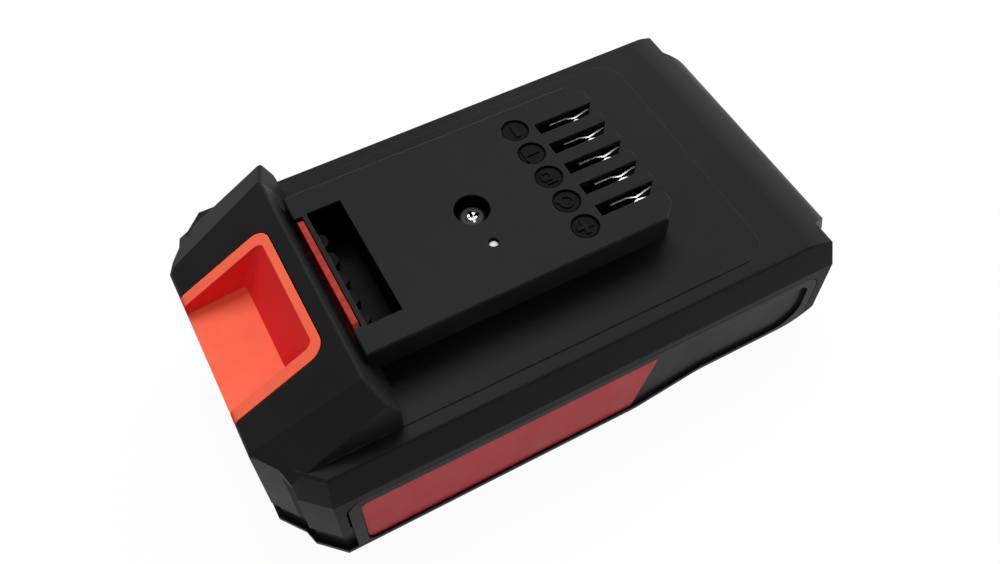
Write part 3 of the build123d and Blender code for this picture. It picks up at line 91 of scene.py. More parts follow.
# Sockets of the Mix node that colours pass through.
MIX_SHARE, MIX_FIRST, MIX_SECOND, MIX_RESULT = 0, 6, 7, 2

# Match of a rounded and a true normal at which an edge begins and is full, and rays that round it.
EDGE_MATCH: Range = (0.97, 0.80)
EDGE_SAMPLES = 4


class Axis(Enum):
    """Direction in which a surface was rubbed, drawn or rolled."""

    X = 0
    Y = 1
    Z = 2


class Detail(Enum):
    """How many finer layers a noise pattern has."""

    SINGLE = 1.0
    SMOOTH = 2.0
    PLAIN = 3.0
    ROUGH = 4.0
    RAGGED = 5.0


def srgb(red: int, green: int, blue: int) -> Colour:
    """Turns a colour as it is seen into the linear values that a shader takes.

    Args:
        red: Red, from 0 to 255.
        green: Green, from 0 to 255.
        blue: Blue, from 0 to 255.

    Returns:
        The three linear values.
    """

    def linear(level: int) -> float:
        """Turns one level.

        Args:
            level: Level, from 0 to the top one.

        Returns:
            Its linear value.
        """
        share = level / TOP_LEVEL
        if share <= TOE_END:
            return share / TOE_SLOPE
        return ((share + CURVE_SHIFT) / (1 + CURVE_SHIFT)) ** CURVE_POWER

    return linear(red), linear(green), linear(blue)


def tinted(colour: Colour, factor: float, lift: float = 0.0) -> Colour:
    """Returns a multiple of a colour, lifted by the same amount in each part."""
    return tuple(min(1.0, part * factor + lift) for part in colour)


def around(middle: float, change: Range) -> Range:
    """Returns the range that reaches from one change of a value to the other."""
    return middle + change[0], middle + change[1]


class Recipe:
    """Node tree of one material, with short calls that add nodes and join them."""

    def __init__(self, name: str) -> None:
        """Starts an empty material with one Principled shader.

        Args:
            name: Name of the material.
        """
        self.material = bpy.data.materials.new(name)
        self.material.use_nodes = True
        self.tree = self.material.node_tree
        self.tree.nodes.clear()
        output = self.tree.nodes.new("ShaderNodeOutputMaterial")
        self.shader = self.tree.nodes.new("ShaderNodeBsdfPrincipled")
        self.tree.links.new(self.shader.outputs["BSDF"], output.inputs["Surface"])
        self.place = self.tree.nodes.new("ShaderNodeTexCoord").outputs["Object"]

    def feed(self, socket: Socket, value: object) -> None:
        """Joins a socket to another one, or sets its value.

        Args:
            socket: Input that is fed.
            value: Output to join, or the value itself.
        """
        if isinstance(value, Socket):
            self.tree.links.new(value, socket)
        elif isinstance(value, tuple) and len(value) == 3 and socket.type == "RGBA":
            socket.default_value = (*value, 1.0)
        else:
            socket.default_value = value

    def set(self, **values: object) -> None:
        """Feeds inputs of the shader, named with underscores for spaces."""
        for name, value in values.items():
            self.feed(self.shader.inputs[name.replace("_", " ")], value)

    def maths(self, operation: str, *values: object) -> Socket:
        """Adds a Math node.

        Args:
            operation: Name of the operation.
            *values: Its inputs.

        Returns:
            The result.
        """
        node = self.tree.nodes.new("ShaderNodeMath")
        node.operation = operation
        for socket, value in zip(node.inputs, values):
            self.feed(socket, value)
        return node.outputs[0]

    def vector(self, operation: str, *values: object) -> bpy.types.Node:
        """Adds a Vector Math node.

        Args:
            operation: Name of the operation.
            *values: Its inputs.

        Returns:
            The node, because its result stands in Vector or in Value.
        """
        node = self.tree.nodes.new("ShaderNodeVectorMath")
        node.operation = operation
        for socket, value in zip(node.inputs, values):
            self.feed(socket, value)
        return node

    def split(self, vector: object) -> list[Socket]:
        """Splits a vector.

        Args:
            vector: The vector.

        Returns:
            Its three parts.
        """
        node = self.tree.nodes.new("ShaderNodeSeparateXYZ")
        self.feed(node.inputs[0], vector)
        return list(node.outputs)

    def stretched(self, scale: Point) -> Socket:
        """Stretches the object's own coordinates.

        Args:
            scale: Factor along each axis.

        Returns:
            The stretched coordinates.
        """
        node = self.tree.nodes.new("ShaderNodeMapping")
        self.feed(node.inputs["Vector"], self.place)
        self.feed(node.inputs["Scale"], scale)
        return node.outputs["Vector"]

    def noise(self, size: float, detail: Detail, where: object = None) -> Socket:
        """Adds a noise pattern.

        Args:
            size: Size of its features, in metres.
            detail: Its finer layers.
            where: Coordinates that it reads, the object's own by default.

        Returns:
            The pattern's value, about a half on average.
        """
        node = self.tree.nodes.new("ShaderNodeTexNoise")
        self.feed(node.inputs["Vector"], where or self.place)
        self.feed(node.inputs["Scale"], 1 / size)
        self.feed(node.inputs["Detail"], detail.value)
        return node.outputs["Fac"]

    def cells(self, size: float) -> Socket:
        """Adds a pattern of round cells.

        Args:
            size: Distance between two cells.

        Returns:
            The distance from their middles.
        """
        node = self.tree.nodes.new("ShaderNodeTexVoronoi")
        self.feed(node.inputs["Vector"], self.place)
        self.feed(node.inputs["Scale"], 1 / size)
        return node.outputs["Distance"]

    def spread(self, value: object, start: Range, result: Range = OFF_TO_ON) -> Socket:
        """Maps a range of values to another range, and holds it there.

        Args:
            value: What is mapped.
            start: The range that it has.
            result: The range that it gets.

        Returns:
            The mapped value.
        """
        node = self.tree.nodes.new("ShaderNodeMapRange")
        for socket, number in zip(node.inputs, (value, *start, *result)):
            self.feed(socket, number)
        return node.outputs["Result"]

    def distance(self, first: object, second: object) -> Socket:
        """Returns the distance from an axis, out of two offsets from it."""
        squares = [self.maths("POWER", offset, 2.0) for offset in (first, second)]
        return self.maths("SQRT", self.maths("ADD", *squares))

    def true_normal(self) -> Socket:
        """Returns the normal of the face itself."""
        return self.tree.nodes.new("ShaderNodeNewGeometry").outputs["Normal"]

    def level(self) -> Socket:
        """Returns how level a face lies: 1 on a flat one and 0 on an upright one."""
        return self.maths("ABSOLUTE", self.split(self.true_normal())[2])

    def blend(self, share: object, first: object, second: object) -> Socket:
        """Mixes two colours.

        Args:
            share: Share of the second colour.
            first: First colour.
            second: Second colour.

        Returns:
            The mixed colour.
        """
        node = self.tree.nodes.new("ShaderNodeMix")
        node.data_type = "RGBA"
        self.feed(node.inputs[MIX_SHARE], share)
        self.feed(node.inputs[MIX_FIRST], first)
        self.feed(node.inputs[MIX_SECOND], second)
        return node.outputs[MIX_RESULT]

    def shaded(self, share: object, colour: Colour, factor: float) -> Socket:
        """Returns a colour that turns to a multiple of itself as the share goes from 0 to 1."""
        return self.blend(share, colour, tinted(colour, factor))

    def soft_edges(self, radius: float) -> Socket:
        """Rounds every edge to the eye.

        Args:
            radius: Radius of the rounding.

        Returns:
            The rounded normal.
        """
        node = self.tree.nodes.new("ShaderNodeBevel")
        node.samples = EDGE_SAMPLES
        self.feed(node.inputs["Radius"], radius)
        return node.outputs["Normal"]

    def edges(self, normal: object, match: Range = EDGE_MATCH) -> Socket:
        """Finds where a rounded normal departs from the true one.

        Args:
            normal: The rounded normal.
            match: Match of the two at which an edge begins and is full.

        Returns:
            About 1 on an edge and 0 on a flat place.
        """
        found = self.vector("DOT_PRODUCT", normal, self.true_normal()).outputs["Value"]
        return self.spread(found, match)

    def bump(self, height: object, depth: float, normal: object = None) -> Socket:
        """Adds relief.

        Args:
            height: Pattern that is raised.
            depth: Depth of its full range, in metres.
            normal: Normal that it starts from.

        Returns:
            The bent normal.
        """
        node = self.tree.nodes.new("ShaderNodeBump")
        self.feed(node.inputs["Height"], height)
        self.feed(node.inputs["Distance"], depth)
        self.feed(node.inputs["Strength"], 1.0)
        if normal is not None:
            self.feed(node.inputs["Normal"], normal)
        return node.outputs["Normal"]

    def inside(self, low: Point, high: Point) -> Socket:
        """Finds a box.

        Args:
            low: Its lowest corner, in millimetres.
            high: Its highest corner, in millimetres.

        Returns:
            1 in the box and 0 outside.
        """
        middle = tuple((a + b) / 2 * MM for a, b in zip(low, high))
        half = tuple((b - a) / 2 * MM for a, b in zip(low, high))
        offset = self.vector("SUBTRACT", self.place, middle).outputs["Vector"]
        size = self.vector("ABSOLUTE", offset).outputs["Vector"]
        beyond = self.split(self.vector("SUBTRACT", size, half).outputs["Vector"])
        widest = self.maths("MAXIMUM", self.maths("MAXIMUM", beyond[0], beyond[1]), beyond[2])
        return self.maths("LESS_THAN", widest, 0.0)


@dataclass(frozen=True)
class Finish:
    """A finish, which makes one material.

    In every finish, sizes, depths, pitches and radii are in metres. A tint is what a colour is
    multiplied by, and a share says how far it goes that way. Values are the part of a pattern's
    values that is spread out, rough is the roughness that they are spread to, and a change of
    gloss is added to the roughness.

    Attributes:
        name: Name of the material.
    """

    name: str

    def fill(self, recipe: Recipe) -> None:
        """Feeds the shader, in each finish in its own way."""
        raise NotImplementedError

    def make(self) -> bpy.types.Material:
        """Builds the material.

        Returns:
            The material, ready to be given to a piece.
        """
        recipe = Recipe(self.name)
        self.fill(recipe)
        return recipe.material


@dataclass(frozen=True)
class MouldedPlastic(Finish):
    """Plastic from a textured mould, with paler edges that are partly worn and partly a painted
    highlight, specks and slow changes of gloss.

    Attributes:
        colour: Colour of the plastic.
        roughness: Roughness on a flat place.
        gloss: Strength of its reflection.
        grain: Size of the mould's texture, in metres.
        grain_depth: Depth of that texture, in metres.
        edge_radius: Radius that its edges seem to have, in metres.
        wear_and_highlight: How much paler an edge is, as worn plastic and as a painted highlight.
        specks: Share of pale specks.
        pit_size: Size of the texture's pits, in grains.
        edge_lift: Paleness that the worn edge and its painted highlight add to any colour.
        speck_lift: Paleness of a speck.
    """

    colour: Colour
    roughness: float = 0.5
    gloss: float = 0.3
    grain: float = 0.35 * MM
    grain_depth: float = 0.012 * MM
    edge_radius: float = 0.25 * MM
    wear_and_highlight: float = 1.8
    specks: float = 0.0
    pit_size: float = 1.7
    pit_height: float = 0.5
    grit: float = 0.10
    patch_size: float = 14 * MM
    patch_gloss: Range = (-0.04, 0.05)
    patch_tint: float = 1.16
    edge_patch_size: float = 2.2 * MM
    edge_patch_values: Range = (0.42, 0.62)
    edge_patch_share: Range = (0.25, 1.0)
    polish: float = 0.06
    edge_lift: float = 0.004
    speck_pitch: float = 0.9 * MM
    speck_values: Range = (0.10, 0.16)
    cluster_size: float = 3.1 * MM
    cluster_values: Range = (0.60, 0.68)
    speck_lift: float = 0.05

    def surface(self, recipe: Recipe) -> Socket:
        """Feeds the shader, all but the colour.

        Args:
            recipe: Material in the making.

        Returns:
            The colour, for a finish that adds to it.
        """
        rounded = recipe.soft_edges(self.edge_radius)
        edge = recipe.edges(rounded)
        patches = recipe.noise(self.patch_size, Detail.ROUGH)
        fine = recipe.noise(self.grain, Detail.PLAIN)
        pits = recipe.cells(self.grain * self.pit_size)
        relief = recipe.maths("MULTIPLY_ADD", pits, self.pit_height, fine)
        # Edges turn paler: partly worn plastic, partly a painted highlight along them.
        edge_patches = recipe.spread(recipe.noise(self.edge_patch_size, Detail.RAGGED), self.edge_patch_values, self.edge_patch_share)
        rubbed_and_highlit = recipe.maths("MULTIPLY", edge, edge_patches)
        rough = recipe.spread(patches, BROAD, around(self.roughness, self.patch_gloss))
        even = recipe.maths("SUBTRACT", rough, self.grit / 2)
        gritty = recipe.maths("MULTIPLY_ADD", fine, self.grit, even)
        recipe.set(
            Roughness=recipe.maths("MULTIPLY_ADD", rubbed_and_highlit, -self.polish, gritty),
            Specular_IOR_Level=self.gloss,
            Normal=recipe.bump(relief, self.grain_depth, rounded),
        )
        shade = recipe.shaded(recipe.spread(patches, MIDDLE), self.colour, self.patch_tint)
        shade = recipe.blend(rubbed_and_highlit, shade, tinted(self.colour, self.wear_and_highlight, self.edge_lift))
        if self.specks:
            dots = recipe.spread(recipe.cells(self.speck_pitch), self.speck_values, (1.0, 0.0))
            clusters = recipe.noise(self.cluster_size, Detail.SMOOTH)
            chosen = recipe.spread(clusters, self.cluster_values, (0.0, self.specks))
            pale = tinted(self.colour, 1.0, self.speck_lift)
            shade = recipe.blend(recipe.maths("MULTIPLY", dots, chosen), shade, pale)
        return shade

    def fill(self, recipe: Recipe) -> None:
        """Feeds the shader."""
        recipe.set(Base_Color=self.surface(recipe))


@dataclass(frozen=True)
class MarkedPlastic(MouldedPlastic):
    """The upper housing's plastic, with darker round marks on the rail block, painted shade in their
    grooves and along their signs' outlines, and painted shade in the block's hollows.

    Attributes:
        hollows: Lowest and highest corners of the hollows that are darkened with painted shade, in
            millimetres.
        mark_x: Place of the row of marks.
        pitch: Distance between two marks.
        radius: Radius of a mark.
        low_z: Height above which the marks lie.
        groove_z: Height under which a mark is groove.
        sign_z: Height above which a mark is a raised sign.
        field_painted_shade: Painted shade that the field round a sign has beyond the sign.
    """

    hollows: tuple[tuple[Point, Point], ...] = (
        ((-38.8, -15.8, 30.0), (-30.5, 15.8, 45.2)),
        ((18.6, -15.2, 30.0), (31.2, 15.2, 45.2)),
        ((-12.4, -4.9, 20.0), (-2.6, 4.9, 45.2)),
    )
    marks: int = 5
    mark_x: float = 11.1 * MM
    pitch: float = 7.519 * MM
    radius: float = 3.16 * MM
    low_z: float = 44.4 * MM
    groove_z: float = 45.3 * MM
    sign_z: float = 45.6 * MM
    outline_radius: float = 0.30 * MM
    outline_match: Range = (0.995, 0.93)
    groove_painted_shade: float = 0.98
    disc_darkening: float = 0.74
    field_painted_shade: float = 0.14
    hollow_painted_shade: float = 0.97
    mark_and_shade_tint: float = 0.04

    def fill(self, recipe: Recipe) -> None:
        """Feeds the shader.

        Args:
            recipe: Material in the making.
        """
        shade = self.surface(recipe)
        x, y, z = recipe.split(recipe.place)
        across = recipe.maths("WRAP", y, self.pitch / 2, -self.pitch / 2)
        along = recipe.maths("SUBTRACT", x, self.mark_x)
        near = recipe.maths("LESS_THAN", recipe.distance(across, along), self.radius)
        row = recipe.maths("LESS_THAN", recipe.maths("ABSOLUTE", y), self.marks / 2 * self.pitch)
        disc = recipe.maths("MULTIPLY", near, row)
        disc = recipe.maths("MULTIPLY", disc, recipe.maths("GREATER_THAN", z, self.low_z))
        # Painted shade along the edges of the signs and the grooves in the marks.
        outline = recipe.edges(recipe.soft_edges(self.outline_radius), self.outline_match)
        deep = recipe.maths("MAXIMUM", recipe.maths("LESS_THAN", z, self.groove_z), outline)
        field = recipe.maths("LESS_THAN", z, self.sign_z)
        level = recipe.maths("MULTIPLY_ADD", field, self.field_painted_shade, self.disc_darkening)
        # A darker tone over each mark, with painted shade in its grooves, along its outlines and on its
        # recessed field.
        marks_and_shade = recipe.maths("MAXIMUM", recipe.maths("MULTIPLY", deep, self.groove_painted_shade), level)
        marks_and_shade = recipe.maths("MULTIPLY", disc, marks_and_shade)
        # Painted shade inside the window, the contact slots and the screw well.
        for low, high in self.hollows:
            hollow_shade = recipe.maths("MULTIPLY", recipe.inside(low, high), self.hollow_painted_shade)
            marks_and_shade = recipe.maths("MAXIMUM", marks_and_shade, hollow_shade)
        recipe.set(Base_Color=recipe.blend(marks_and_shade, shade, tinted(self.colour, self.mark_and_shade_tint)))


@dataclass(frozen=True)
class LatchPlastic(MouldedPlastic):
    """The button's plastic: a deeper red painted as shade on the pocket's upright walls, and painted
    shade on the arm and the bar.

    Attributes:
        wall_shade_colour: Colour of the pocket's walls, a deeper red as painted shade.
        wall_level: How level a face lies where it stops being all wall, and where it is none.
        cap_end_x: Place past which the moulding is arm and bar.
        bar_painted_shade: Share by which the colour is darkened there, as painted shade.
    """

    wall_shade_colour: Colour = srgb(232, 24, 38)
    wall_level: Range = (0.45, 0.70)
    wall_shade_share: float = 0.85
    cap_end_x: float = -47.0 * MM
    bar_painted_shade: float = 0.9
    shade_patch_size: float = 1.4 * MM
    shade_patch_share: Range = (0.82, 1.0)
    bar_shade_tint: Colour = (0.25, 0.10, 0.14)

    def fill(self, recipe: Recipe) -> None:
        """Feeds the shader.

        Args:
            recipe: Material in the making.
        """
        shade = self.surface(recipe)
        # Painted shade: the pocket's upright walls turn a deeper red.
        wall = recipe.spread(recipe.level(), self.wall_level, (self.wall_shade_share, 0.0))
        shade = recipe.blend(wall, shade, self.wall_shade_colour)
        # Painted shade on the arm and the bar behind the cap, broken up by noise.
        x = recipe.split(recipe.place)[0]
        behind = recipe.maths("MULTIPLY", recipe.maths("GREATER_THAN", x, self.cap_end_x), self.bar_painted_shade)
        shade_patches = recipe.spread(recipe.noise(self.shade_patch_size, Detail.ROUGH), MIDDLE, self.shade_patch_share)
        shaded_colour = tuple(part * share for part, share in zip(self.colour, self.bar_shade_tint))
        recipe.set(Base_Color=recipe.blend(recipe.maths("MULTIPLY", behind, shade_patches), shade, shaded_colour))


@dataclass(frozen=True)
class PrintedFilm(Finish):
    """Printed label film with a satin lacquer and a faintly darker cut edge.

    Attributes:
        colour: Colour of the print.
        wave_height: Height of the waves, next to that of the film's own grain.
    """

    colour: Colour
    gloss: float = 0.08
    rough: Range = (0.28, 0.40)
    patch_size: float = 5 * MM
    edge_radius: float = 0.12 * MM
    edge_share: float = 0.5
    edge_tint: float = 0.45
    dot_pitch: float = 0.16 * MM
    dot_values: Range = (0.1, 0.6)
    dot_share: float = 0.7
    dot_tint: float = 0.86
    wave_size: float = 9 * MM
    wave_height: float = 6.0
    fine_size: float = 0.25 * MM
    depth: float = 0.004 * MM

    def fill(self, recipe: Recipe) -> None:
        """Feeds the shader.

        Args:
            recipe: Material in the making.
        """
        rounded = recipe.soft_edges(self.edge_radius)
        edge = recipe.edges(rounded)
        dots = recipe.spread(recipe.cells(self.dot_pitch), self.dot_values, (0.0, self.dot_share))
        shade = recipe.shaded(dots, self.colour, self.dot_tint)
        cut = recipe.maths("MULTIPLY", edge, self.edge_share)
        fine = recipe.noise(self.fine_size, Detail.SMOOTH)
        waves = recipe.noise(self.wave_size, Detail.SMOOTH)
        relief = recipe.maths("MULTIPLY_ADD", waves, self.wave_height, fine)
        recipe.set(
            Base_Color=recipe.blend(cut, shade, tinted(self.colour, self.edge_tint)),
            Roughness=recipe.spread(recipe.noise(self.patch_size, Detail.ROUGH), BROAD, self.rough),
            Specular_IOR_Level=self.gloss,
            Normal=recipe.bump(relief, self.depth, rounded),
        )


@dataclass(frozen=True)
class PlatedMetal(Finish):
    """Plated or bare sheet and wire, with fine lines along the way that it was rolled.

    Attributes:
        colour: Colour of the metal.
        roughness: Roughness between the lines.
        lines: Axis along which the lines run.
        tarnish: Share of dull patches.
        line_stretch: Width of a line next to its length.
    """

    colour: Colour
    roughness: float = 0.22
    lines: Axis = Axis.X
    tarnish: float = 0.4
    line_width: float = 0.12 * MM
    line_stretch: float = 0.03
    line_gloss: Range = (-0.06, 0.08)
    line_depth: float = 0.003 * MM
    dull_size: float = 2.5 * MM
    dull_values: Range = (0.45, 0.65)
    dull_rough: float = 0.25
    dull_tint: float = 0.72
    edge_radius: float = 0.08 * MM

    def surface(self, recipe: Recipe) -> Socket:
        """Feeds the shader, all but colour and metal.

        Args:
            recipe: Material in the making.

        Returns:
            The colour.
        """
        stretch = [1.0, 1.0, 1.0]
        stretch[self.lines.value] = self.line_stretch
        strokes = recipe.noise(self.line_width, Detail.PLAIN, recipe.stretched(tuple(stretch)))
        patches = recipe.noise(self.dull_size, Detail.RAGGED)
        dull = recipe.spread(patches, self.dull_values, (0.0, self.tarnish))
        rough = recipe.spread(strokes, BROAD, around(self.roughness, self.line_gloss))
        recipe.set(
            Roughness=recipe.maths("MULTIPLY_ADD", dull, self.dull_rough, rough),
            Normal=recipe.bump(strokes, self.line_depth, recipe.soft_edges(self.edge_radius)),
        )
        return recipe.shaded(dull, self.colour, self.dull_tint)

    def fill(self, recipe: Recipe) -> None:
        """Feeds the shader."""
        recipe.set(Base_Color=self.surface(recipe), Metallic=1.0)


@dataclass(frozen=True)
class SheetContact(PlatedMetal):
    """Stamped contact: bright along its cut edges, with painted shade darkening its upright faces.

    Attributes:
        side_painted_shade: Share by which the upright faces are darker than the cut edges, as painted
            shade.
        face_level: How level a surface lies where it stops being all face, and where it is all cut edge.
    """

    side_painted_shade: float = 0.9
    face_level: Range = (0.3, 0.7)
    side_shade_tint: float = 0.07

    def fill(self, recipe: Recipe) -> None:
        """Feeds the shader.

        Args:
            recipe: Material in the making.
        """
        shade = self.surface(recipe)
        # Painted shade: the upright faces turn darker, and the level cut edges stay bright.
        face = recipe.spread(recipe.level(), self.face_level, (self.side_painted_shade, 0.0))
        shaded_colour = tinted(self.colour, self.side_shade_tint)
        recipe.set(Base_Color=recipe.blend(face, shade, shaded_colour), Metallic=1.0)


@dataclass(frozen=True)
class BlackedScrew(Finish):
    """Blacked screw with a bright spot round its axis: partly steel that the driver has worn bare, partly
    a painted highlight.

    Attributes:
        colour: Colour of the blacking.
        bare: Colour of the steel under it.
        axis_x: Place of the screw's axis.
        spot_radius: Radius of the bright spot.
        ragged: Size and depth of the notches in the spot's outline.
        low_z: Height under which there is no bright spot.
    """

    colour: Colour
    bare: Colour
    gloss: float = 0.12
    rough: Range = (0.34, 0.44)
    polish: float = 0.14
    axis_x: float = -7.5 * MM
    spot_radius: float = 0.95 * MM
    ragged: float = 0.5 * MM
    low_z: float = 20 * MM
    grain: float = 0.3 * MM
    grain_tint: float = 1.5
    depth: float = 0.004 * MM
    edge_radius: float = 0.12 * MM

    def fill(self, recipe: Recipe) -> None:
        """Feeds the shader.

        Args:
            recipe: Material in the making.
        """
        x, y, z = recipe.split(recipe.place)
        apart = recipe.distance(recipe.maths("SUBTRACT", x, self.axis_x), y)
        notches = recipe.noise(self.ragged, Detail.PLAIN)
        inner = recipe.maths("SUBTRACT", apart, self.ragged / 2)
        reach = recipe.maths("MULTIPLY_ADD", notches, self.ragged, inner)
        # A bright spot round the axis: partly steel worn bare, partly a painted highlight on the head.
        spot = recipe.maths("LESS_THAN", reach, self.spot_radius)
        rubbed_and_highlit = recipe.maths("MULTIPLY", spot, recipe.maths("GREATER_THAN", z, self.low_z))
        grains = recipe.noise(self.grain, Detail.ROUGH)
        black = recipe.shaded(grains, self.colour, self.grain_tint)
        rough = recipe.spread(grains, BROAD, self.rough)
        recipe.set(
            Base_Color=recipe.blend(rubbed_and_highlit, black, self.bare),
            Metallic=rubbed_and_highlit,
            Specular_IOR_Level=self.gloss,
            Roughness=recipe.maths("MULTIPLY_ADD", rubbed_and_highlit, -self.polish, rough),
            Normal=recipe.bump(grains, self.depth, recipe.soft_edges(self.edge_radius)),
        )


@dataclass(frozen=True)
class TwoTone(Finish):
    """A small component whose ends, legs or caps are bare metal and whose body is not.

    Attributes:
        body: Colour of the body.
        metal: Colour of the metal.
        body_box: Lowest and highest corner of the body, in millimetres.
        roughness: Roughness of the body.
    """

    body: Colour
    metal: Colour
    body_box: tuple[Point, Point]
    roughness: float = 0.45
    metal_roughness: float = 0.24
    fine_size: float = 0.15 * MM
    fine_gloss: Range = (-0.05, 0.08)
    fine_depth: float = 0.008 * MM
    stain_size: float = 1.6 * MM
    body_tint: float = 1.2
    metal_tint: float = 0.8
    edge_radius: float = 0.12 * MM

    def fill(self, recipe: Recipe) -> None:
        """Feeds the shader.

        Args:
            recipe: Material in the making.
        """
        bare = recipe.maths("SUBTRACT", 1.0, recipe.inside(*self.body_box))
        fine = recipe.noise(self.fine_size, Detail.PLAIN)
        stain = recipe.spread(recipe.noise(self.stain_size, Detail.ROUGH), MIDDLE)
        metal = recipe.shaded(stain, self.metal, self.metal_tint)
        shade = recipe.shaded(stain, self.body, self.body_tint)
        rough = recipe.spread(fine, BROAD, around(self.roughness, self.fine_gloss))
        recipe.set(
            Base_Color=recipe.blend(bare, shade, metal),
            Metallic=bare,
            Roughness=recipe.maths("MULTIPLY_ADD", bare, self.metal_roughness - self.roughness, rough),
            Normal=recipe.bump(fine, self.fine_depth, recipe.soft_edges(self.edge_radius)),
        )


@dataclass(frozen=True)
class CellSleeve(Finish):
    """Shrunk sleeve of a round cell, with the bare can and cap inside the ring at each end.

    Attributes:
        colour: Colour of the sleeve.
        axis_x: Place of one cell's axis.
        axis_z: Height of the cells' axes.
        pitch: Distance between two cells.
        end_y: Distance from the middle past which an end face begins.
        ring_radius: Radius inside which the end is bare.
    """

    colour: Colour
    axis_x: float
    axis_z: float
    pitch: float
    end_y: float
    ring_radius: float
    steel: Colour = srgb(196, 194, 186)
    gloss: float = 0.5
    rough: Range = (0.24, 0.36)
    wrinkle_size: float = 0.9 * MM
    wrinkle_stretch: Point = (1.0, 0.06, 1.0)
    wrinkle_depth: float = 0.02 * MM
    stain_size: float = 6 * MM
    sleeve_tint: float = 1.15
    steel_tint: float = 0.85
    edge_radius: float = 0.2 * MM

    def fill(self, recipe: Recipe) -> None:
        """Feeds the shader.

        Args:
            recipe: Material in the making.
        """
        x, y, z = recipe.split(recipe.place)
        along = recipe.maths("SUBTRACT", x, self.axis_x)
        along = recipe.maths("WRAP", along, self.pitch / 2, -self.pitch / 2)
        apart = recipe.distance(along, recipe.maths("SUBTRACT", z, self.axis_z))
        at_end = recipe.maths("GREATER_THAN", recipe.maths("ABSOLUTE", y), self.end_y)
        bare = recipe.maths("MULTIPLY", at_end, recipe.maths("LESS_THAN", apart, self.ring_radius))
        wrinkles = recipe.noise(self.wrinkle_size, Detail.PLAIN, recipe.stretched(self.wrinkle_stretch))
        stain = recipe.spread(recipe.noise(self.stain_size, Detail.ROUGH), MIDDLE)
        shade = recipe.shaded(stain, self.colour, self.sleeve_tint)
        steel = recipe.shaded(stain, self.steel, self.steel_tint)
        recipe.set(
            Base_Color=recipe.blend(bare, shade, steel),
            Metallic=bare,
            Roughness=recipe.spread(wrinkles, BROAD, self.rough),
            Specular_IOR_Level=self.gloss,
            Normal=recipe.bump(wrinkles, self.wrinkle_depth, recipe.soft_edges(self.edge_radius)),
        )


@dataclass(frozen=True)
class BoardLaminate(Finish):
    """Circuit board: green lacquer over copper tracks, bare glass laminate at its edges.

    Attributes:
        lacquer: Colour of the lacquer.
        laminate: Colour of the cut edges.
        track: Length, pitch and width of a copper track.
        track_shift: Shift from one row of tracks to the next, and squash of every other row.
        track_height: Height of a track, next to that of the glass weave.
        face_level: How level a surface lies where it stops being cut edge, and where it is all lacquer.
    """

    lacquer: Colour
    laminate: Colour
    track: Point = (9.0 * MM, 2.3 * MM, 0.32 * MM)
    track_blur: float = 0.35
    track_shift: Range = (0.37, 0.6)
    track_tint: float = 1.9
    track_height: float = 2.0
    weave_size: float = 0.5 * MM
    weave_stretch: Point = (1.0, 0.4, 1.0)
    weave_tint: float = 0.7
    face_level: Range = (0.5, 0.8)
    patch_size: float = 3 * MM
    rough: Range = (0.22, 0.36)
    gloss: float = 0.5
    depth: float = 0.03 * MM

    def fill(self, recipe: Recipe) -> None:
        """Feeds the shader.

        Args:
            recipe: Material in the making.
        """
        brick = recipe.tree.nodes.new("ShaderNodeTexBrick")
        brick.offset, brick.squash = self.track_shift
        names = ("Vector", "Scale", "Brick Width", "Row Height", "Mortar Size", "Mortar Smooth")
        for name, value in zip(names, (recipe.place, 1.0, *self.track, self.track_blur)):
            recipe.feed(brick.inputs[name], value)
        track = brick.outputs["Fac"]
        weave = recipe.noise(self.weave_size, Detail.SINGLE, recipe.stretched(self.weave_stretch))
        face = recipe.spread(recipe.level(), self.face_level)
        green = recipe.shaded(track, self.lacquer, self.track_tint)
        edge = recipe.shaded(weave, self.laminate, self.weave_tint)
        relief = recipe.maths("MULTIPLY_ADD", track, self.track_height, weave)
        recipe.set(
            Base_Color=recipe.blend(face, edge, green),
            Roughness=recipe.spread(recipe.noise(self.patch_size, Detail.PLAIN), BROAD, self.rough),
            Specular_IOR_Level=self.gloss,
            Normal=recipe.bump(relief, self.depth),
        )


@dataclass(frozen=True)
class FibrePaper(Finish):
    """Insulating paper with short fibres in it.

    Attributes:
        colour: Colour of the paper.
    """

    colour: Colour
    fibre_size: float = 0.5 * MM
    fibre_stretch: Point = (0.25, 1.0, 1.0)
    fibre_values: Range = (0.4, 0.65)
    fibre_tint: float = 0.8
    cloud_size: float = 7 * MM
    cloud_share: float = 0.35
    cloud_tint: float = 1.25
    rough: Range = (0.68, 0.82)
    gloss: float = 0.25
    depth: float = 0.02 * MM

    def fill(self, recipe: Recipe) -> None:
        """Feeds the shader.

        Args:
            recipe: Material in the making.
        """
        fibres = recipe.noise(self.fibre_size, Detail.ROUGH, recipe.stretched(self.fibre_stretch))
        shade = recipe.shaded(recipe.spread(fibres, self.fibre_values), self.colour, self.fibre_tint)
        cloud = recipe.spread(recipe.noise(self.cloud_size, Detail.ROUGH), HIGH, (0.0, self.cloud_share))
        recipe.set(
            Base_Color=recipe.blend(cloud, shade, tinted(self.colour, self.cloud_tint)),
            Roughness=recipe.spread(fibres, BROAD, self.rough),
            Specular_IOR_Level=self.gloss,
            Normal=recipe.bump(fibres, self.depth),
        )


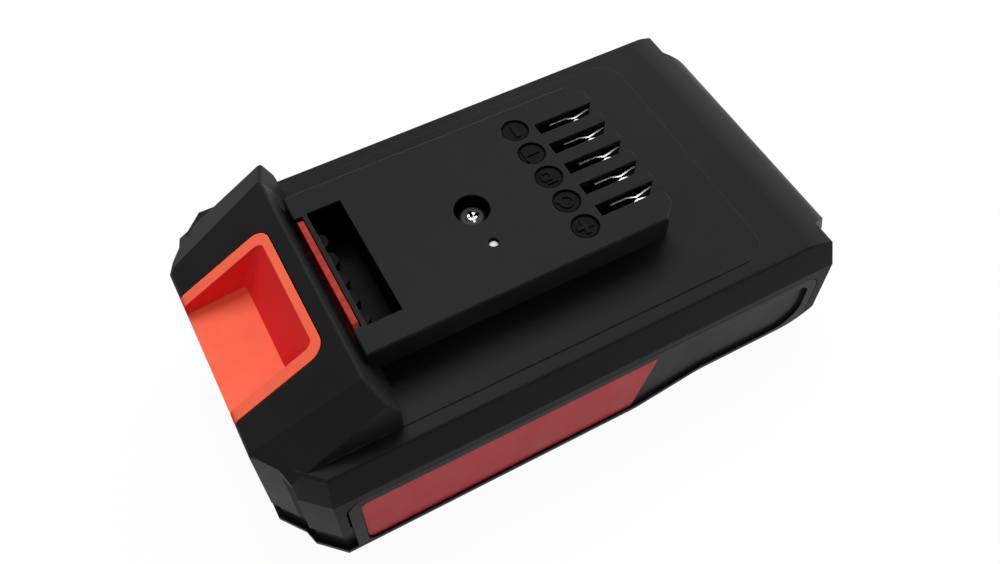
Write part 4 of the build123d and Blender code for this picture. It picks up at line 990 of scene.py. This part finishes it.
@dataclass(frozen=True)
class WireCover(Finish):
    """Soft cover of a wire, with a faint bloom on it.

    Attributes:
        colour: Colour of the cover.
    """

    colour: Colour
    bloom_size: float = 1.2 * MM
    bloom_tint: float = 1.3
    rough: Range = (0.42, 0.58)
    gloss: float = 0.4
    fine_size: float = 0.12 * MM
    depth: float = 0.006 * MM

    def fill(self, recipe: Recipe) -> None:
        """Feeds the shader.

        Args:
            recipe: Material in the making.
        """
        bloom = recipe.noise(self.bloom_size, Detail.ROUGH)
        recipe.set(
            Base_Color=recipe.shaded(recipe.spread(bloom, HIGH), self.colour, self.bloom_tint),
            Roughness=recipe.spread(bloom, BROAD, self.rough),
            Specular_IOR_Level=self.gloss,
            Normal=recipe.bump(recipe.noise(self.fine_size, Detail.SMOOTH), self.depth),
        )


@dataclass(frozen=True)
class FrostedPlastic(Finish):
    """Clear plastic of the light pipe, etched so that it glows evenly.

    Attributes:
        colour: Colour of the plastic.
        clearness: Share of light that passes.
        refraction: How strongly it bends light.
    """

    colour: Colour
    cloud_size: float = 1.5 * MM
    cloud_tint: float = 0.94
    etch_size: float = 0.2 * MM
    rough: Range = (0.30, 0.45)
    clearness: float = 0.25
    refraction: float = 1.49
    depth: float = 0.01 * MM
    edge_radius: float = 0.15 * MM

    def fill(self, recipe: Recipe) -> None:
        """Feeds the shader.

        Args:
            recipe: Material in the making.
        """
        clouds = recipe.noise(self.cloud_size, Detail.SMOOTH)
        etch = recipe.noise(self.etch_size, Detail.PLAIN)
        recipe.set(
            Base_Color=recipe.shaded(clouds, self.colour, self.cloud_tint),
            Roughness=recipe.spread(etch, BROAD, self.rough),
            Transmission_Weight=self.clearness,
            IOR=self.refraction,
            Normal=recipe.bump(etch, self.depth, recipe.soft_edges(self.edge_radius)),
        )


HOUSING = MarkedPlastic(
    "housing_black", srgb(30, 30, 30), roughness=0.36, gloss=0.024, wear_and_highlight=4.8, specks=0.4
)
LOWER_HOUSING = MouldedPlastic(
    "lower_housing_black", srgb(26, 26, 26), roughness=0.34, gloss=0.042, wear_and_highlight=4.2, specks=0.5
)
BUTTON_RED = LatchPlastic("button_red", srgb(246, 104, 78), roughness=0.46, gloss=0.03, wear_and_highlight=1.06)
INNER_WHITE = MouldedPlastic("inner_white", srgb(212, 211, 204), roughness=0.5, gloss=0.4, wear_and_highlight=1.03)
CARRIER_DARK = MouldedPlastic("carrier_dark", srgb(38, 38, 40), roughness=0.55, gloss=0.3, grain=0.2 * MM)
LABEL_RED = PrintedFilm("label_red", srgb(218, 44, 48))
TIN = SheetContact("contact_tin", srgb(186, 185, 181), roughness=0.26, lines=Axis.X, tarnish=0.2)
BLACKED = BlackedScrew("screw_blacked", srgb(16, 16, 17), srgb(214, 214, 212))
SPRING_WIRE = PlatedMetal("spring_wire", srgb(198, 198, 200), roughness=0.2, lines=Axis.Z)
NICKEL = PlatedMetal("strip_nickel", srgb(205, 201, 188), roughness=0.26, lines=Axis.X)
CAN = PlatedMetal("capacitor_can", srgb(208, 209, 212), roughness=0.22, lines=Axis.Z)
PAPER = FibrePaper("fish_paper", srgb(150, 160, 132))
LIGHT_PIPE = FrostedPlastic("light_pipe_clear", srgb(238, 240, 240))
LEAD_RED = WireCover("lead_red", srgb(196, 28, 30))
LEAD_BLACK = WireCover("lead_black", srgb(34, 34, 36))
LEAD_WHITE = WireCover("lead_white", srgb(226, 225, 220))


BOARD_GREEN = BoardLaminate("board_green", srgb(22, 96, 52), srgb(186, 168, 108))
CHIP = TwoTone(
    "chip_case", srgb(30, 30, 31), srgb(200, 200, 198), ((-23.6, 4.4, 28.0), (-16.4, 11.6, 31.0))
)
TRANSISTOR = TwoTone(
    "transistor_case", srgb(32, 32, 33), srgb(196, 195, 190), ((0.0, -12.5, 29.0), (6.7, 12.5, 31.5))
)
FUSE = TwoTone(
    "fuse_case",
    srgb(226, 222, 206),
    srgb(205, 204, 200),
    ((-21.4, -12.0, 28.0), (-15.6, -6.0, 32.0)),
    roughness=0.3,
)
SHUNT = TwoTone(
    "shunt_case", srgb(44, 42, 40), srgb(190, 170, 140), ((8.4, -17.0, 28.0), (12.4, -13.0, 30.0))
)
STATUS_LED = TwoTone(
    "led_case",
    srgb(235, 234, 226),
    srgb(210, 190, 120),
    ((-8.9, -10.1, 28.0), (-6.1, -9.1, 30.0)),
    roughness=0.25,
)
THERMISTOR = TwoTone(
    "thermistor_bead",
    srgb(40, 36, 32),
    srgb(200, 196, 186),
    ((9.0, 22.4, 27.0), (13.5, 26.0, 31.0)),
    roughness=0.3,
)


class Workbench:
    """Hand tools of the modeller: selections, modifiers and clean meshes."""

    merge_distance: float = 0.001 * MM

    @staticmethod
    def clear() -> None:
        """Leaves edit mode and deselects everything."""
        if bpy.context.object and bpy.context.object.mode != "OBJECT":
            bpy.ops.object.mode_set(mode="OBJECT")
        bpy.ops.object.select_all(action="DESELECT")

    @staticmethod
    def take(piece: Piece) -> None:
        """Makes a piece the only selected and the active one.

        Args:
            piece: Piece that is taken in hand.
        """
        Workbench.clear()
        piece.select_set(True)
        bpy.context.view_layer.objects.active = piece

    @staticmethod
    def settle(piece: Piece) -> None:
        """Applies a piece's place, so that its object sits at the origin."""
        Workbench.take(piece)
        bpy.ops.object.transform_apply(location=True, rotation=True, scale=True)

    @staticmethod
    def apply(piece: Piece, kind: str, **values: object) -> None:
        """Adds a modifier and applies it.

        Args:
            piece: Piece in hand.
            kind: Kind of modifier.
            **values: Its settings.
        """
        Workbench.take(piece)
        modifier = piece.modifiers.new(kind.lower(), kind)
        for name, value in values.items():
            setattr(modifier, name, value)
        bpy.ops.object.modifier_apply(modifier=modifier.name)

    @staticmethod
    def outward(piece: Piece) -> None:
        """Merges doubles and turns every face outwards.

        Args:
            piece: Piece in hand.
        """
        Workbench.take(piece)
        bpy.ops.object.mode_set(mode="EDIT")
        bpy.ops.mesh.select_all(action="SELECT")
        bpy.ops.mesh.remove_doubles(threshold=Workbench.merge_distance)
        bpy.ops.mesh.normals_make_consistent(inside=False)
        bpy.ops.object.mode_set(mode="OBJECT")


def dress(piece: Piece, material: bpy.types.Material) -> None:
    """Gives a piece its material, in the slot that it has or in a first one.

    Args:
        piece: Piece that is dressed.
        material: Its material.
    """
    if piece.data.materials:
        piece.data.materials[0] = material
    else:
        piece.data.materials.append(material)


def dress_nodes(nodes: dict[str, Piece], finishes: dict[str, Finish]) -> list[str]:
    """Gives nodes their finishes, and makes each finish once.

    Args:
        nodes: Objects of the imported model.
        finishes: Finish of each node, by its name.

    Returns:
        Names of the dressed nodes.
    """
    made = {finish: finish.make() for finish in dict.fromkeys(finishes.values())}
    for name, finish in finishes.items():
        dress(nodes[name], made[finish])
    return list(finishes)


@dataclass
class Case:
    """Upper and lower housing, their label films and the light pipe."""

    nodes: dict[str, Piece]

    def build(self) -> list[str]:
        """Dresses the case.

        Returns:
            Names of the dressed nodes.
        """
        finishes = {
            "upper_housing": HOUSING,
            "lower_housing": LOWER_HOUSING,
            "side_label_left": LABEL_RED,
            "side_label_right": LABEL_RED,
            "light_pipe": LIGHT_PIPE,
        }
        return dress_nodes(self.nodes, finishes)


@dataclass
class ReleaseLatch:
    """Release button, its support and the two wound return springs."""

    nodes: dict[str, Piece]
    travel: float
    wire_radius: float = 0.3 * MM
    turns: int = 7
    sides: int = 12
    steps: int = 28
    smooth_angle: float = math.radians(40)

    def coil(self, node: str) -> Piece:
        """Winds one spring in the place of its plain tube.

        Args:
            node: Name of the tube.

        Returns:
            The wound spring.
        """
        low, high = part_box(node)
        middle = (low + high) / 2
        radius = (high.x - low.x) / 2 - self.wire_radius
        Workbench.clear()
        bpy.ops.mesh.primitive_circle_add(
            vertices=self.sides,
            radius=self.wire_radius,
            location=(radius, 0, 0),
            rotation=(math.pi / 2, 0, 0),
        )
        spring = bpy.context.object
        spring.name = node + "_coil"
        Workbench.settle(spring)
        rise = (high.z - low.z - 2 * self.wire_radius) / self.turns
        Workbench.apply(
            spring,
            "SCREW",
            axis="Z",
            angle=2 * math.pi,
            screw_offset=rise,
            iterations=self.turns,
            steps=self.steps,
            render_steps=self.steps,
            use_merge_vertices=False,
        )
        Workbench.take(spring)
        bpy.ops.object.mode_set(mode="EDIT")
        bpy.ops.mesh.select_all(action="DESELECT")
        bpy.ops.mesh.select_mode(type="EDGE")
        bpy.ops.mesh.select_non_manifold()
        bpy.ops.mesh.edge_face_add()
        bpy.ops.object.mode_set(mode="OBJECT")
        Workbench.outward(spring)
        bpy.ops.transform.translate(value=(middle.x, middle.y, low.z + self.wire_radius))
        Workbench.settle(spring)
        bpy.ops.object.shade_smooth_by_angle(angle=self.smooth_angle)
        return spring

    def build(self) -> list[str]:
        """Dresses the latch and winds its springs.

        Returns:
            Names of the pieces.
        """
        names = dress_nodes(self.nodes, {"release_button": BUTTON_RED, "latch_support": INNER_WHITE})
        wire = SPRING_WIRE.make()
        for node in ("latch_spring_left", "latch_spring_right"):
            spring = self.coil(node)
            dress(spring, wire)
            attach(spring, "pack")
            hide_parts(node)
            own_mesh(spring)
            dress(self.nodes[node], wire)
            names.append(spring.name)
        return names


@dataclass
class CellPack:
    """Cells, their holders, the strips that join them and the sheets over the strips."""

    nodes: dict[str, Piece]
    count: int = 5
    sleeve_colour: Colour = srgb(40, 112, 150)
    end_reach: float = 1.0 * MM
    ring_radius: float = 7.3 * MM

    def build(self) -> list[str]:
        """Dresses the cells and what holds them.

        Returns:
            Names of the dressed nodes.
        """
        low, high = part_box("cell_1")
        next_low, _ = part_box("cell_2")
        sleeve = CellSleeve(
            "cell_sleeve_blue",
            self.sleeve_colour,
            axis_x=(low.x + high.x) / 2,
            axis_z=(low.z + high.z) / 2,
            pitch=next_low.x - low.x,
            end_y=high.y - self.end_reach,
            ring_radius=self.ring_radius,
        )
        finishes = {f"cell_{number}": sleeve for number in range(1, self.count + 1)}
        for side in ("left", "right"):
            finishes[f"cell_holder_{side}"] = INNER_WHITE
            finishes[f"nickel_strips_{side}"] = NICKEL
            finishes[f"insulation_{side}"] = PAPER
        return dress_nodes(self.nodes, finishes)


@dataclass
class Electronics:
    """Circuit board, what it carries, the terminals and the wires."""

    nodes: dict[str, Piece]

    def build(self) -> list[str]:
        """Dresses the electronics.

        Returns:
            Names of the dressed nodes.
        """
        finishes = {
            "circuit_board": BOARD_GREEN,
            "board_tray": INNER_WHITE,
            "contact_carrier": CARRIER_DARK,
            "capacitors": CAN,
            "power_lead_positive": LEAD_RED,
            "power_lead_negative": LEAD_BLACK,
            "sense_leads": LEAD_WHITE,
            "controller_chip": CHIP,
            "power_transistors": TRANSISTOR,
            "fuse": FUSE,
            "shunt_resistor": SHUNT,
            "status_led": STATUS_LED,
            "thermistor": THERMISTOR,
        }
        finishes |= {name: TIN for name in self.nodes if name.startswith("terminal_")}
        return dress_nodes(self.nodes, finishes)


@dataclass
class Screws:
    """Centre screw in the well and the four case screws."""

    nodes: dict[str, Piece]

    def build(self) -> list[str]:
        """Dresses the screws.

        Returns:
            Names of the dressed nodes.
        """
        return dress_nodes(self.nodes, {"centre_screw": BLACKED, "case_screws": BLACKED})


@dataclass(frozen=True)
class Lamp:
    """Soft square lamp: its name, where it hangs, its side, and its power in watts."""

    name: str
    place: Point
    size: float
    power: float

    def hang(self, aim: Point) -> None:
        """Hangs the lamp.

        Args:
            aim: Point that it is turned to.
        """
        bpy.ops.object.light_add(type="AREA", location=self.place)
        lamp = bpy.context.object
        lamp.name = self.name
        lamp.data.size = self.size
        lamp.data.energy = self.power
        lamp.rotation_euler = (Vector(self.place) - Vector(aim)).to_track_quat("Z", "Y").to_euler()


@dataclass
class Studio:
    """Pale floor, soft lamps, even daylight and the camera at the photograph's place.

    Attributes:
        back: Direction from what it looks at back to it.
        aim: Point that the lamps are turned to.
        floor_drop: Gap under the pack, which keeps its underside clear of the floor.
        floor_paint: Lightness of the floor as the lamps find it.
        floor_glow: Strength of its white.
        floor_share: Share of white in what the camera sees of it.
    """

    eye: Point = (-0.0644, -0.1175, 0.2128)
    back: Point = (-0.2653, -0.4902, 0.8303)
    lens: float = 36.35
    sensor: float = 36
    view_depth: Range = (0.005, 20)
    lamps: tuple[Lamp, ...] = (
        Lamp("softbox_above", (0.10, 0.40, 1.04), 0.60, 9.4),
        Lamp("softbox_rear_right", (0.80, 0.50, 0.58), 1.00, 7.5),
        Lamp("softbox_near_left", (-0.80, -0.62, 0.30), 0.40, 1.6),
        Lamp("softbox_right", (1.02, -0.22, 0.18), 0.35, 3.0),
    )
    aim: Point = (0, 0, 0.03)
    daylight: float = 0.16
    sky_glow: float = 1.0
    floor_size: float = 4.0
    floor_drop: float = 0.05 * MM
    floor_paint: float = 0.42
    floor_glow: float = 1.08
    floor_share: float = 0.88

    @staticmethod
    def seen_white(tree: bpy.types.NodeTree) -> Socket:
        """Finds the rays that see the white background: from the camera, off metal and through glass.

        Args:
            tree: Node tree of the floor or of the sky.

        Returns:
            1 for such a ray and 0 for the others.
        """
        path = tree.nodes.new("ShaderNodeLightPath")
        found = path.outputs["Is Camera Ray"]
        for name in ("Is Glossy Ray", "Is Transmission Ray"):
            either = tree.nodes.new("ShaderNodeMath")
            either.operation = "MAXIMUM"
            tree.links.new(found, either.inputs[0])
            tree.links.new(path.outputs[name], either.inputs[1])
            found = either.outputs[0]
        return found

    @staticmethod
    def white(tree: bpy.types.NodeTree, kind: str, strength: float) -> bpy.types.Node:
        """Adds a shader that gives white light.

        Args:
            tree: Node tree that it goes into.
            kind: Kind of shader.
            strength: Strength of the light.

        Returns:
            The shader.
        """
        node = tree.nodes.new(kind)
        node.inputs["Color"].default_value = (1, 1, 1, 1)
        node.inputs["Strength"].default_value = strength
        return node

    @staticmethod
    def mix(
        tree: bpy.types.NodeTree, share: Socket, first: bpy.types.Node, second: bpy.types.Node, end: str
    ) -> None:
        """Mixes two shaders and joins them to a new output.

        Args:
            tree: Node tree that they stand in.
            share: Share of the second one.
            first: First shader.
            second: Second shader.
            end: Kind of output.
        """
        mixed = tree.nodes.new("ShaderNodeMixShader")
        for socket, value in zip(mixed.inputs, (share, first.outputs[0], second.outputs[0])):
            tree.links.new(value, socket)
        tree.links.new(mixed.outputs[0], tree.nodes.new(end).inputs["Surface"])

    def floor(self) -> None:
        """Lays the floor, which shows white and keeps a soft shadow."""
        Workbench.clear()
        bpy.ops.mesh.primitive_plane_add(size=self.floor_size, location=(0, 0, -self.floor_drop))
        floor = bpy.context.object
        floor.name = "studio_floor"
        material = bpy.data.materials.new("studio_floor_pale")
        material.use_nodes = True
        tree = material.node_tree
        tree.nodes.clear()
        paint = tree.nodes.new("ShaderNodeBsdfDiffuse")
        paint.inputs["Color"].default_value = (*[self.floor_paint] * 3, 1)
        glow = self.white(tree, "ShaderNodeEmission", self.floor_glow)
        seen = tree.nodes.new("ShaderNodeMath")
        seen.operation = "MULTIPLY"
        tree.links.new(self.seen_white(tree), seen.inputs[0])
        seen.inputs[1].default_value = self.floor_share
        self.mix(tree, seen.outputs[0], paint, glow, "ShaderNodeOutputMaterial")
        dress(floor, material)

    def sky(self) -> None:
        """Makes the even light, white where the camera sees it."""
        world = bpy.data.worlds.new("studio_world")
        bpy.context.scene.world = world
        world.use_nodes = True
        tree = world.node_tree
        tree.nodes.clear()
        even = self.white(tree, "ShaderNodeBackground", self.daylight)
        seen = self.white(tree, "ShaderNodeBackground", self.sky_glow)
        self.mix(tree, self.seen_white(tree), even, seen, "ShaderNodeOutputWorld")

    def camera(self) -> None:
        """Sets the camera at the photograph's place and angle."""
        data = bpy.data.cameras.new("studio_camera")
        data.lens = self.lens
        data.sensor_width = self.sensor
        data.clip_start, data.clip_end = self.view_depth
        camera = bpy.data.objects.new("studio_camera", data)
        bpy.context.scene.collection.objects.link(camera)
        camera.location = self.eye
        camera.rotation_euler = Vector(self.back).to_track_quat("Z", "Y").to_euler()
        bpy.context.scene.camera = camera

    def build(self) -> list[str]:
        """Sets up the studio.

        Returns:
            Names of what it holds.
        """
        self.floor()
        self.sky()
        for lamp in self.lamps:
            lamp.hang(self.aim)
        self.camera()
        bpy.context.scene.view_settings.view_transform = "Standard"
        return ["floor", "sky", *(lamp.name for lamp in self.lamps), "camera"]


def main(frame: dict[str, object]) -> None:
    """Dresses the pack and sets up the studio.

    Args:
        frame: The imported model.
    """
    logging.basicConfig(level=logging.INFO, format="%(name)s: %(message)s")
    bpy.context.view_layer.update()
    nodes = frame["nodes"]
    press = next(joint for joint in frame["joints"] if joint["name"] == "button_press")
    travel = press["range_m"][1] - press["range_m"][0]
    latch = ReleaseLatch(nodes, travel)
    for part in (Case(nodes), latch, CellPack(nodes), Electronics(nodes), Screws(nodes), Studio()):
        for name in part.build():
            LOG.info("%s: %s", type(part).__name__, name)


if __name__ == "__main__":
    main(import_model())
